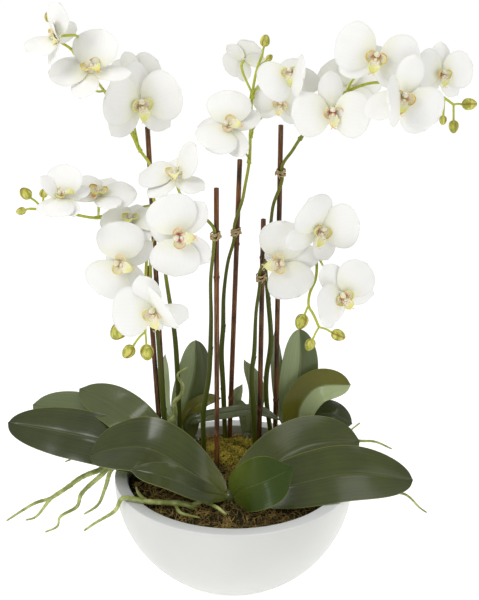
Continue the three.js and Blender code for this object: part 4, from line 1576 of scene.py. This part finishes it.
@dataclass
class Spike:
    """One flower spike: the main stem beside its stake, bracts, pedicels and buds."""

    name: str
    low: Sequence[Point]
    stake: Stake
    high: Sequence[Point]
    buds: Sequence[Bud]
    forks: Mapping[str, Point]
    radius: float = 2.4
    thick: float = 2.5
    swell: float = 0.8
    grown: float = 0.45
    tip_radius: float = 1.5
    pedicel: float = 1.3
    depth: float = 22.0
    gap: float = 0.3
    straight: float = 3.0
    fresh: float = 1.0
    pedicel_steps: int = 14
    bract_length: float = 9.0
    sheath_length: float = 12.0
    sheath_places: tuple[float, float] = (0.16, 0.32)

    def route(self) -> list[Vector]:
        """The main stem's points from its foot to its tip.

        Returns:
            The points, past the tie.
        """
        foot = Vector(self.low[0]) - UP * self.depth
        passing = [self.stake.beside(above)[1] for above in (-self.stake.tie_length, self.stake.tie_length)]
        return [foot, *map(Vector, self.low), *passing, *map(Vector, self.high)]

    def stem(self) -> Strand:
        """The main stem, slightly swollen where a pedicel leaves it.

        Returns:
            Its fine route with its radii.
        """
        route = self.route()
        steps = 20 * (len(route) - 1)
        fine = eased(route, steps)
        radii = []
        for i, point in enumerate(fine):
            share = i / steps
            radius = self.thick + (self.tip_radius - self.thick) * share
            radius += self.swell * math.sin(math.pi * min(1.0, share / self.grown))
            near = min((point - Vector(f)).length for f in self.forks.values())
            radii.append(radius * (1.0 + 0.22 * math.exp(-(near / 4.0) ** 2)))
        return Strand(fine, radii)

    def branch(self, bloom: Bloom, start: Point) -> Strand:
        """The pedicel from the stem to the neck of a bloom.

        Args:
            bloom: the bloom.
            start: where it leaves the stem.

        Returns:
            The pedicel.
        """
        look = bloom.look()
        neck = -NECK[0][0] * bloom.size + self.gap + self.straight
        end = Vector(bloom.at) - look * neck
        first = Vector(start)
        reach = (end - first).length
        rise = first + UP * reach * 0.15
        approach = end - look * reach * 0.4
        steps = self.pedicel_steps
        points = []
        for i in range(steps + 1):
            t = i / steps
            s = 1.0 - t
            points.append(first * s ** 3 + rise * 3 * s * s * t + approach * 3 * s * t * t + end * t ** 3)
        points.append(end + look * self.straight)
        radii = [self.pedicel * (1.0 + 0.25 * (i / (steps + 1)) ** 3) for i in range(steps + 2)]
        return Strand(points, radii)

    def bract(self, at: Vector, axis: Vector, away: Vector, length: float) -> bpy.types.Object:
        """A small pointed scale that sheathes the stem.

        Args:
            at: its base on the stem.
            axis: the stem's direction there.
            away: the side on which it stands off.
            length: its length.

        Returns:
            The thickened scale.
        """
        away = (away - axis * away.dot(axis)).normalized()
        across = axis.cross(away)

        def place(u: float, v: float) -> Vector:
            """Wraps the scale round the stem at its base and lets its tip stand off.

            Args:
                u: the way along, 0 at the base and 1 at the tip.
                v: the way across, -1 to 1.

            Returns:
                The point.
            """
            wrap = math.radians(115.0) * v * (1.0 - u)
            grow = (self.radius + 0.5) * (1.0 - 0.25 * u) + 1.6 * u * u
            side = away * (grow * math.cos(wrap)) + across * (grow * math.sin(wrap) * (1.0 - u * 0.6))
            return (at + side + axis * (length * u)) * MM

        scale = sheet("bract", 8, 8, place)
        thicken(scale, 0.5 * MM, 0.6)
        dress(scale, STEM)
        return scale

    def ripen(self, whole: bpy.types.Object, route: Sequence[Vector]) -> None:
        """Notes how young each place is: 0 at the foot, 1 at the tip and on all that branches off.

        Args:
            whole: the spike.
            route: the points of its main stem.
        """
        tree = kdtree.KDTree(len(route))
        for i, point in enumerate(route):
            tree.insert(point, i)
        tree.balance()
        ages = []
        for vertex in whole.data.vertices:
            _, i, away = tree.find(vertex.co / MM)
            ages.append(min(1.0, self.fresh * i / len(route) + max(0.0, away - 4.5) * 0.12))
        note(whole, "young", ages)

    def build(self, blooms: Mapping[str, Bloom]) -> bpy.types.Object:
        """The spike, joined.

        Args:
            blooms: the blooms by name.

        Returns:
            The finished spike.
        """
        stem = self.stem()
        green = tubes("green", [stem], 4)
        shoots = tubes("shoots", [self.branch(blooms[name], at) for name, at in self.forks.items()], 3)
        pieces = [green, shoots]
        for bud in self.buds:
            pieces.extend(bud.build())
        fine = stem.points
        for name, start in self.forks.items():
            near = min(range(1, len(fine) - 1), key=lambda i: (fine[i] - Vector(start)).length)
            axis = (fine[near + 1] - fine[near - 1]).normalized()
            away = Vector(blooms[name].at) - fine[near]
            pieces.append(self.bract(fine[near] - axis * 4.0, axis, away, self.bract_length))
        for side, share in zip((-1.0, 1.0), self.sheath_places):
            at = int(len(fine) * share)
            axis = (fine[at + 1] - fine[at - 1]).normalized()
            pieces.append(self.bract(fine[at], axis, Vector((side, -0.5, 0.0)), self.sheath_length))
        for piece in (green, shoots):
            dress(piece, STEM)
        whole = joined(self.name.replace("spike", "flower_spike"), pieces)
        self.ripen(whole, fine)
        smooth(whole, 60.0)
        stand_in(whole, "stem", self.name)
        return whole


@dataclass
class Leaf:
    """One leaf: the route of its midrib, the way its face looks, its width, channel and tones."""

    rib: Sequence[Point]
    face: Point
    width: float
    channel: float
    tone: float = 0.0
    pale: float = 0.0
    half: float = 0.0
    sharp: float = 0.97
    thickness: float = 1.6
    widest: float = 0.58
    base: float = 0.13
    thin_edge: float = 0.35
    rows: int = 44
    columns: int = 22
    steps: int = 240

    def build(self, crown: Point, rng: random.Random) -> bpy.types.Object:
        """The blade from its crown to its tip.

        Args:
            crown: where its plant stands.
            rng: gives its waves.

        Returns:
            The thickened blade.
        """
        root = Vector((crown[0], crown[1], FILLING.height(*crown) + 6.0))
        outward = Vector((self.rib[0][0] - crown[0], self.rib[0][1] - crown[1], 0.0)).normalized() * 4.5
        line = eased([root + outward, *self.rib], self.steps)
        facing = Vector(self.face).normalized()
        phase = [rng.uniform(0.0, FULL_TURN) for _ in range(3)]

        def place(t: float, v: float) -> Vector:
            """The blade's middle surface: a channel, a slight wave and a short point.

            Args:
                t: the way along, 0 at the crown and 1 at the tip.
                v: the way across, -1 to 1.

            Returns:
                The point.
            """
            u = 1.0 - (1.0 - t) ** 1.8
            half = 0.5 * self.width * outline(u, self.widest, self.base, self.sharp)
            k = min(int(u * self.steps), self.steps - 1)
            point = line[k].lerp(line[k + 1], u * self.steps - k)
            before, after = line[max(k - 3, 0)], line[min(k + 4, self.steps)]
            tangent = (after - before).normalized()
            side = facing.cross(tangent).normalized()
            normal = tangent.cross(side)
            fold = math.sqrt(v * v + 0.012) - 0.11
            lift = self.channel * half * fold
            lift += 0.06 * half * abs(v) ** 2 * math.sin(6.0 * u + phase[0] + (2.0 if v > 0 else 0.0))
            lift += 0.03 * half * math.sin(3.1 * v + phase[1]) * math.sin(4.0 * u + phase[2])
            lift -= 0.55 * math.exp(-(v / 0.05) ** 2)
            return (point - side * (half * v) + normal * lift) * MM

        blade = sheet("leaf", self.rows, self.columns, place)
        dress(blade, LEAF_TOP, LEAF_UNDER)
        thicken(blade, self.thickness * MM, self.thin_edge)
        for name, value in (("tone", self.tone), ("pale", self.pale), ("half", self.half)):
            note(blade, name, [value])
        return blade


@dataclass
class Plant:
    """A crown in the filling with its leaves."""

    name: str
    crown: tuple[float, float]
    leaves: Sequence[Leaf]
    crown_tone: float = 0.25
    profile: Sequence[tuple[float, float]] = (
        (-12.0, 5.5), (-6.0, 8.0), (0.0, 9.0), (5.0, 8.6), (9.5, 7.0), (12.0, 4.0), (12.8, 1.0),
    )

    def build(self, rng: random.Random) -> bpy.types.Object:
        """All leaves of the plant, joined with its crown.

        Args:
            rng: gives the leaves their waves.

        Returns:
            The finished plant.
        """
        z = FILLING.height(*self.crown)
        points = [Vector((self.crown[0], self.crown[1], z + up)) for up, _ in self.profile]
        crown = tubes("crown", [Strand(points, [r for _, r in self.profile])], 6)
        note(crown, "tone", [self.crown_tone])
        dress(crown, LEAF_TOP)
        pieces = [crown, *(leaf.build(self.crown, rng) for leaf in self.leaves)]
        whole = joined(self.name.replace("plant", "leafy_plant"), pieces)
        smooth(whole, 50.0)
        stand_in(whole, "leaf", self.name)
        return whole


@dataclass
class RootGroup:
    """A group of aerial roots: each strand's points with its thick and thin radius."""

    name: str
    strands: Sequence[tuple[Sequence[Point], float, float]]
    stout: float = 1.12
    blunt: float = 0.4

    def build(self, rng: random.Random) -> bpy.types.Object:
        """The strands, knobbly and tapering.

        Args:
            rng: gives the knobs.

        Returns:
            The finished group.
        """
        made = []
        for points, thick, thin in self.strands:
            steps = 14 * (len(points) - 1)
            route = eased(points, steps)
            phase = rng.uniform(0.0, 6.0)
            radii = []
            for i, point in enumerate(route):
                t = i / steps
                radius = thick * self.stout + (thin - thick * self.stout) * t ** 1.8
                lumps = noise.noise(point * 0.16 + Vector((phase, 0.0, 0.0)))
                knob = 0.10 * lumps + 0.05 * math.sin(i * 1.9 + phase)
                radii.append(radius * (1.0 + knob) * (1.0 if i < steps else self.blunt))
            made.append(Strand(route, radii))
        whole = tubes(self.name.replace("root", "aerial_root"), made, 3)
        smooth(whole, 60.0)
        dress(whole, ROOT)
        stand_in(whole, "root", self.name)
        return whole


@dataclass(frozen=True)
class Lamp:
    """A soft square light: its name, place, side in metres and power in watts."""

    name: str
    at: tuple[float, float, float]
    size: float
    power: float


@dataclass
class Studio:
    """The plain pale floor, soft light and the camera."""

    eye: tuple[float, float, float] = (0.0066, -2.070, 1.265)
    down: float = 23.8
    lens: float = 120.0
    floor: float = 60.0
    sky: float = 0.51
    lamps: Sequence[Lamp] = (
        Lamp("key", (-1.1, -1.0, 1.7), 0.8, 13.8),
        Lamp("fill", (1.3, -1.1, 0.9), 1.2, 4.5),
        Lamp("top", (-0.4, 0.25, 2.1), 0.55, 4.5),
        Lamp("side_top", (0.95, 0.05, 2.0), 0.6, 2.2),
    )
    aim: tuple[float, float, float] = (0.0, 0.0, 0.3)
    flanks: tuple[float, float] = (10.0, 32.0)
    flank_at: tuple[float, float, float] = (1.25, 0.75, 0.16)
    flank_aim: tuple[float, float, float] = (0.08, 0.0, 0.05)
    flank_cone: float = 17.0

    def build(self) -> None:
        """Sets the stage."""
        deselect()
        bpy.ops.mesh.primitive_plane_add(size=self.floor, location=(0.0, 0.0, 0.0))
        floor = bpy.context.object
        floor.name = "floor"
        dress(floor, FloorFinish())
        world = bpy.data.worlds.new("studio")
        world.use_nodes = True
        ground = world.node_tree.nodes["Background"]
        ground.inputs["Color"].default_value = (1.0, 1.0, 1.0, 1.0)
        ground.inputs["Strength"].default_value = self.sky
        bpy.context.scene.world = world
        for lamp in self.lamps:
            self.light(lamp)
        for side in (-1.0, 1.0):
            self.spot(side)
        bpy.ops.object.camera_add(location=self.eye, rotation=(math.radians(90.0 - self.down), 0.0, 0.0))
        camera = bpy.context.object
        camera.data.lens = self.lens
        camera.data.sensor_width = 36.0
        camera.data.clip_end = 30.0
        bpy.context.scene.camera = camera
        bpy.context.scene.view_settings.view_transform = "Standard"

    def spot(self, side: float) -> None:
        """A soft spot behind the bowl that lights one of its flanks.

        Args:
            side: -1 for the left flank, 1 for the right one.
        """
        at = Vector((self.flank_at[0] * side, *self.flank_at[1:]))
        aim = Vector((self.flank_aim[0] * side, *self.flank_aim[1:]))
        turn = (aim - at).to_track_quat("-Z", "Y").to_euler()
        bpy.ops.object.light_add(type="SPOT", location=at, rotation=turn)
        spot = bpy.context.object
        spot.name = "flank_left" if side < 0 else "flank_right"
        spot.data.energy = self.flanks[0 if side < 0 else 1]
        spot.data.spot_size = math.radians(self.flank_cone)
        spot.data.spot_blend = 0.6
        spot.data.shadow_soft_size = 0.12

    def light(self, lamp: Lamp) -> None:
        """Hangs a lamp that looks at the middle of the arrangement.

        Args:
            lamp: the lamp.
        """
        turn = (Vector(self.aim) - Vector(lamp.at)).to_track_quat("-Z", "Y").to_euler()
        bpy.ops.object.light_add(type="AREA", location=lamp.at, rotation=turn)
        hung = bpy.context.object
        hung.name = lamp.name
        hung.data.size = lamp.size
        hung.data.energy = lamp.power


STAKES = {
    stake.tie: stake
    for stake in (
        Stake("stake_left_front", (-86, 45), (-99, 50, 372), "tie_left_front", 352, (0.5, -0.86)),
        Stake("stake_left_back", (-82, 72), (-98, 88, 528), "tie_left_back", 475, (0.2, -1)),
        Stake("stake_middle", (-20, 10), (-19, 10, 483), "tie_middle", 428, (-0.5, -0.86)),
        Stake("stake_back", (-6, 104), (7, 112, 480), "tie_back", 392, (-0.6, -0.8)),
        Stake("stake_right_back", (50, 98), (54, 106, 524), "tie_right_back", 468, (0.4, -0.9)),
        Stake("stake_right_front", (30, 74), (34, 66, 424), "tie_right_front", 352, (-0.5, -0.86)),
    )
}

BLOOMS = {
    bloom.name: bloom
    for bloom in (
        Bloom("bloom_1a", (-190, 14, 656), -55, 5, -85, 0.85, LipTint.PEACH, 16,
              {"left": 72, "dorsal": -60, "lower": 40}),
        Bloom("bloom_1b", (-155, 18, 616), -10, 70, -45, 1.04, LipTint.RUST, -19, {"right": 46}),
        Bloom("bloom_1c", (-110, 92, 587), 165, 0, 20, 0.72, LipTint.LEMON),
        Bloom("bloom_1d", (-105, 52, 568), 25, 10, 0, 1.1, LipTint.LEMON, 0, {"right": 25, "left": 20}),
        Bloom("bloom_2a", (-185, -52, 496), -10, 72, -85, 0.8, LipTint.SPOTTED, 16,
              {"right": 50, "dorsal": 60}),
        Bloom("bloom_2b", (-148, -16, 485), 10, 76, 25, 0.95, LipTint.RUST, 0, {"lower": 20}),
        Bloom("bloom_2c", (-113, -23, 457), -10, 72, 0, 0.8, LipTint.LEMON),
        Bloom("bloom_3b", (-63, -14, 506), -20, 72, -20, 0.95, LipTint.PEACH, 0, {"right": 50}),
        Bloom("bloom_2d", (-124, -54, 421), -10, 10, -74, 1.02, LipTint.PEACH, 0,
              {"dorsal": -50, "lower": -30}),
        Bloom("bloom_2e", (-86, -80, 374), -15, 10, -20, 1.05, LipTint.PEACH, 0,
              {"right": 50, "left": 15, "dorsal": 20, "lower": -40}),
        Bloom("bloom_3a", (-59, -76, 461), 0, 5, -94, 1.05, LipTint.ROSE, 4, {"dorsal": -40}),
        Bloom("bloom_4a", (12, 96, 605), 165, 10, 45, 0.6, LipTint.LEMON),
        Bloom("bloom_4b", (-6, 50, 541), -5, 50, -75, 0.95, LipTint.PEACH, 0,
              {"right": 18, "left": 15, "dorsal": -20}),
        Bloom("bloom_4c", (63, 46, 608), -10, 10, -12, 0.88, LipTint.LEMON, 40,
              {"right": 62, "left": 15, "dorsal": -70}),
        Bloom("bloom_4d", (53, 86, 558), -5, 0, 10, 0.75, LipTint.PEACH),
        Bloom("bloom_5a", (107, 20, 571), 12, 5, 0, 1, LipTint.ROSE, 26,
              {"right": 40, "left": -5, "lower": -30}),
        Bloom("bloom_5b", (130, 82, 577), 180, -5, 0, 0.88, LipTint.LEMON, -20),
        Bloom("bloom_5c", (154, 2, 639), -5, 5, 14, 1.05, LipTint.RUST, 10, {"dorsal": -85}),
        Bloom("bloom_5d", (182, -26, 602), 5, 10, 17, 1.05, LipTint.RUST, 38, {"left": 62}),
        Bloom("bloom_5e", (226, 22, 612), 28, 15, 10, 0.8, LipTint.SPOTTED, 0,
              {"right": 25, "left": 5}),
        Bloom("bloom_6a", (53, 6, 397), -5, 5, 79, 1.05, LipTint.PEACH, 0, {"lower": -60}),
        Bloom("bloom_6b", (95, -2, 439), 30, 5, 28, 1.02, LipTint.SPOTTED, -18,
              {"right": 28, "left": 20, "dorsal": -40}),
        Bloom("bloom_6c", (120, -28, 372), 20, -5, -30, 1, LipTint.SPOTTED, 0, {"left": 35}),
    )
}

SPIKES = (
    Spike(
        "spike_1",
        low=((-66, 80, 118), (-67, 80, 201), (-70, 80, 270), (-78, 78, 336), (-87, 77, 410)),
        stake=STAKES["tie_left_back"],
        high=(
            (-108, 78, 506), (-115, 76, 524), (-126, 74, 548), (-143, 78, 571), (-162, 80, 597),
            (-179, 78, 621), (-194, 60, 638),
        ),
        buds=(
            Bud((-202, 54, 666), (-194, 60, 638), 12),
        ),
        forks={
            "bloom_1a": (-179, 78, 621), "bloom_1b": (-143, 78, 571), "bloom_1c": (-115, 76, 524),
            "bloom_1d": (-108, 78, 506),
        },
        fresh=1.4,
    ),
    Spike(
        "spike_2",
        low=((-77, 52, 118), (-81, 48, 157), (-85, 44, 217), (-89, 43, 290)),
        stake=STAKES["tie_left_front"],
        high=((-95, 34, 400), (-96, 18, 412), (-98, 2, 396), (-100, -8, 352), (-100, -12, 318)),
        buds=(
            Bud((-120, -10, 292), (-100, -12, 318), 18),
            Bud((-99, -8, 290), (-100, -12, 318), 20),
            Bud((-130, -12, 319), (-100, -8, 352), 24),
        ),
        forks={"bloom_2d": (-96, 18, 412), "bloom_2e": (-100, -8, 352), "bloom_3a": (-95, 34, 400)},
    ),
    Spike(
        "spike_3",
        low=((-35, 40, 118), (-36, 30, 192), (-29, 22, 246), (-26, 16, 319), (-26, 10, 373)),
        stake=STAKES["tie_middle"],
        high=(
            (-32, 6, 449), (-42, 8, 456), (-82, 10, 463), (-115, 14, 456), (-151, 10, 448),
            (-181, 4, 455), (-211, -6, 464), (-224, -14, 468),
        ),
        buds=(
            Bud((-228, -16, 487), (-211, -6, 464), 16),
            Bud((-234, -16, 466), (-224, -14, 468), 11),
            Bud((-208, -18, 488), (-211, -6, 464), 12),
        ),
        forks={
            "bloom_3b": (-42, 8, 456), "bloom_2c": (-82, 10, 463), "bloom_2b": (-151, 10, 448),
            "bloom_2a": (-181, 4, 455),
        },
    ),
    Spike(
        "spike_4",
        low=(
            (-11, 94, 120), (-13, 98, 190), (-15, 102, 238), (-13, 102, 271), (-12, 102, 314),
            (-7, 102, 356),
        ),
        stake=STAKES["tie_back"],
        high=(
            (10, 102, 434), (13, 100, 452), (18, 96, 485), (19, 90, 518), (21, 84, 567),
            (26, 80, 598), (32, 77, 616),
        ),
        buds=(
            Bud((35, 76, 633), (32, 77, 616), 14),
            Bud((40, 80, 612), (26, 80, 598), 9),
        ),
        forks={
            "bloom_4a": (21, 84, 567), "bloom_4b": (18, 96, 485), "bloom_4c": (21, 84, 567),
            "bloom_4d": (19, 90, 518),
        },
    ),
    Spike(
        "spike_5",
        low=(
            (46, 90, 120), (39, 92, 182), (39, 94, 211), (44, 96, 256), (40, 97, 316),
            (37, 97, 358), (43, 98, 406), (46, 98, 430),
        ),
        stake=STAKES["tie_right_back"],
        high=(
            (67, 92, 498), (77, 80, 519), (102, 64, 554), (126, 52, 581), (151, 50, 592),
            (182, 46, 593), (211, 44, 590), (233, 40, 578), (243, 38, 571),
        ),
        buds=(
            Bud((260, 34, 573), (243, 38, 571), 17),
            Bud((244, 36, 546), (243, 38, 571), 15),
            Bud((232, 38, 553), (233, 40, 578), 11),
        ),
        forks={
            "bloom_5a": (77, 80, 519), "bloom_5b": (77, 80, 519), "bloom_5c": (126, 52, 581),
            "bloom_5d": (182, 46, 593), "bloom_5e": (211, 44, 590),
        },
    ),
    Spike(
        "spike_6",
        low=((25, 66, 120), (24, 64, 170), (21, 62, 228), (24, 62, 258), (26, 61, 310)),
        stake=STAKES["tie_right_front"],
        high=(
            (40, 52, 379), (64, 38, 405), (81, 28, 410), (92, 18, 400), (93, 10, 375), (86, 4, 358),
            (85, 0, 345), (91, 0, 333), (97, -2, 319),
        ),
        buds=(
            Bud((77, 0, 325), (85, 0, 345), 19),
            Bud((87, -4, 298), (97, -2, 319), 15),
            Bud((119, -6, 311), (97, -2, 319), 17),
        ),
        forks={"bloom_6a": (40, 52, 379), "bloom_6b": (64, 38, 405), "bloom_6c": (92, 18, 400)},
    ),
)

PLANTS = (
    Plant("plant_front", (-4, -50), (
        Leaf(((-43, -52, 154), (-96, -36, 181), (-137, -18, 172), (-169, -6, 156)),
             (-0.15, -0.55, 1), 74, 0.16, tone=0.2),
        Leaf(((-39, -68, 143), (-78, -74, 165), (-118, -64, 169)),
             (0, -0.5, 1), 36, 0.2, tone=0.2, sharp=0.9),
        Leaf(((12, -72, 148), (34, -84, 164), (68, -74, 177)),
             (0.1, -1, 0.75), 60, 0.12, tone=0.65, sharp=0.8),
        Leaf(((40, -30, 153), (92, 6, 164), (149, 30, 156)), (0.1, -0.8, 1), 74, 0.14, tone=0.4),
        Leaf(((65, -52, 142), (134, -36, 148), (209, -20, 131)),
             (0.05, -0.75, 1), 70, 0.14, tone=0.25, sharp=0.985),
    )),
    Plant("plant_left", (-66, 20), (
        Leaf(((-146, 14, 161), (-206, 34, 166), (-270, 56, 167)),
             (0, -0.75, 1), 66, 0.12, tone=0.05, sharp=0.985),
        # This leaf's pale tone of 0.25 is painted sheen.
        Leaf(((-140, 34, 164), (-191, 62, 174), (-243, 88, 175)),
             (0.05, -0.8, 1), 66, 0.12, tone=0.1, pale=0.25),
        Leaf(((-111, 25, 178), (-146, 58, 190), (-186, 87, 197)),
             (0.35, -0.85, 1), 55, 0.14, tone=0.35, pale=0.1, sharp=0.95),
    )),
    Plant("plant_back_left", (-50, 92), (
        Leaf(((-58, 100, 162), (-48, 110, 211), (-46, 114, 249)),
             (0.1, -1, 0.25), 42, 0.2, tone=0.45, pale=0.12, half=-0.65, sharp=0.99),
        Leaf(((-83, 98, 163), (-86, 106, 199), (-83, 110, 232)),
             (-0.5, -1, 0.2), 20, 0.15, tone=0.3, pale=0.8, sharp=0.9),
        Leaf(((-53, 85, 153), (-10, 84, 166), (29, 83, 170), (57, 83, 156)),
             (0, -0.8, 0.7), 15, 0.1, tone=0.1, pale=0.15, sharp=0.9),
        Leaf(((-53, 92, 163), (-35, 92, 179), (-15, 90, 183)),
             (0.1, -0.8, 0.7), 18, 0.12, tone=-0.55, sharp=0.9),
    )),
    Plant("plant_back", (18, 108), (
        Leaf(((12, 112, 153), (2, 114, 168), (10, 118, 188)),
             (-0.4, -1, 0.3), 17, 0.15, tone=0.3, pale=0.8, sharp=0.9),
        Leaf(((26, 116, 151), (27, 118, 185), (12, 120, 220)),
             (-0.2, -0.7, 0.8), 20, 0.12, tone=0.5, pale=0.7, sharp=0.9),
    )),
    Plant("plant_back_right", (78, 84), (
        Leaf(((89, 84, 156), (116, 86, 164), (143, 84, 151)), (0.1, -0.5, 1), 40, 0.1, tone=0),
        Leaf(((80, 90, 170), (101, 94, 195), (141, 98, 197)),
             (-0.2, -0.9, 0.7), 44, 0.35, tone=-0.6, half=0.95),
        Leaf(((75, 106, 172), (80, 116, 221), (79, 120, 261)),
             (0.05, -1, 0.2), 46, 0.12, tone=0.5, pale=0.2, half=-0.55, sharp=0.99),
        Leaf(((59, 112, 153), (52, 118, 210), (49, 122, 256)),
             (0.2, -1, 0.1), 16, 0.1, tone=0.4, pale=0.6, sharp=0.95),
    )),
)

ROOTS = (
    RootGroup("roots_left", (
        ((
            (-84, 24, 116), (-100, 28, 132), (-141, 37, 134), (-156, 36, 117), (-181, 34, 106),
            (-218, 30, 80), (-239, 28, 73), (-274, 24, 51),
        ), 3.4, 1.1),
        (((-194, 32, 96), (-218, 30, 80), (-239, 26, 55), (-251, 24, 52)), 2.2, 1),
        ((
            (-100, 26, 130), (-143, 18, 133), (-156, 19, 118), (-182, 16, 92), (-187, 14, 77),
            (-208, 10, 64), (-211, 8, 53), (-226, 4, 47),
        ), 3, 1),
        ((
            (-90, 22, 126), (-116, 10, 134), (-142, 7, 133), (-152, 4, 108), (-161, 0, 87),
            (-178, -4, 76),
        ), 3, 1),
        ((
            (-110, 32, 131), (-140, 58, 138), (-171, 60, 131), (-190, 58, 120), (-204, 56, 114),
        ), 1.6, 0.9),
    )),
    RootGroup("roots_front", (
        ((
            (-40, -64, 112), (-52, -70, 126), (-99, -70, 131), (-127, -66, 133), (-137, -62, 114),
            (-160, -62, 98), (-173, -64, 89),
        ), 3.2, 1.2),
        (((-99, -70, 131), (-110, -46, 128), (-114, -26, 126)), 2, 1),
        (((-52, -70, 124), (-36, -64, 127), (-20, -76, 127), (-8, -88, 124)), 2.6, 1.6),
        (((-66, -72, 126), (-60, -86, 125), (-38, -95, 124)), 2, 1),
    )),
    RootGroup("root_upright", (
        ((
            (-74, 64, 112), (-78, 64, 147), (-80, 68, 159), (-71, 70, 169), (-71, 70, 188),
            (-64, 70, 196), (-61, 70, 209), (-67, 70, 224), (-55, 70, 234),
        ), 3.2, 1),
    )),
    RootGroup("roots_right", (
        ((
            (98, 60, 110), (108, 58, 132), (133, 50, 148), (150, 46, 148), (168, 44, 148),
            (189, 42, 139),
        ), 2.2, 0.9),
        (((108, 58, 132), (134, 70, 143), (142, 72, 150), (152, 74, 158)), 1.6, 0.9),
    )),
    RootGroup("root_right_front", (
        ((
            (102, -20, 110), (116, -22, 132), (150, -26, 132), (184, -30, 122), (201, -34, 119),
            (217, -38, 104), (225, -40, 99),
        ), 2.2, 0.9),
    )),
)


def main() -> None:
    """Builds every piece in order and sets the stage."""
    logging.basicConfig(level=logging.INFO, format="%(name)s: %(message)s")
    rng = random.Random(SEED)
    Bowl().build()
    FILLING.coir(rng)
    FILLING.mat(rng)
    for stake in STAKES.values():
        stake.build(rng)
        stake.wrap(rng)
    for spike in SPIKES:
        spike.build(BLOOMS)
    for bloom in BLOOMS.values():
        bloom.build(rng)
    for plant in PLANTS:
        plant.build(rng)
    for group in ROOTS:
        group.build(rng)
    Studio().build()


if __name__ == "__main__":
    main()
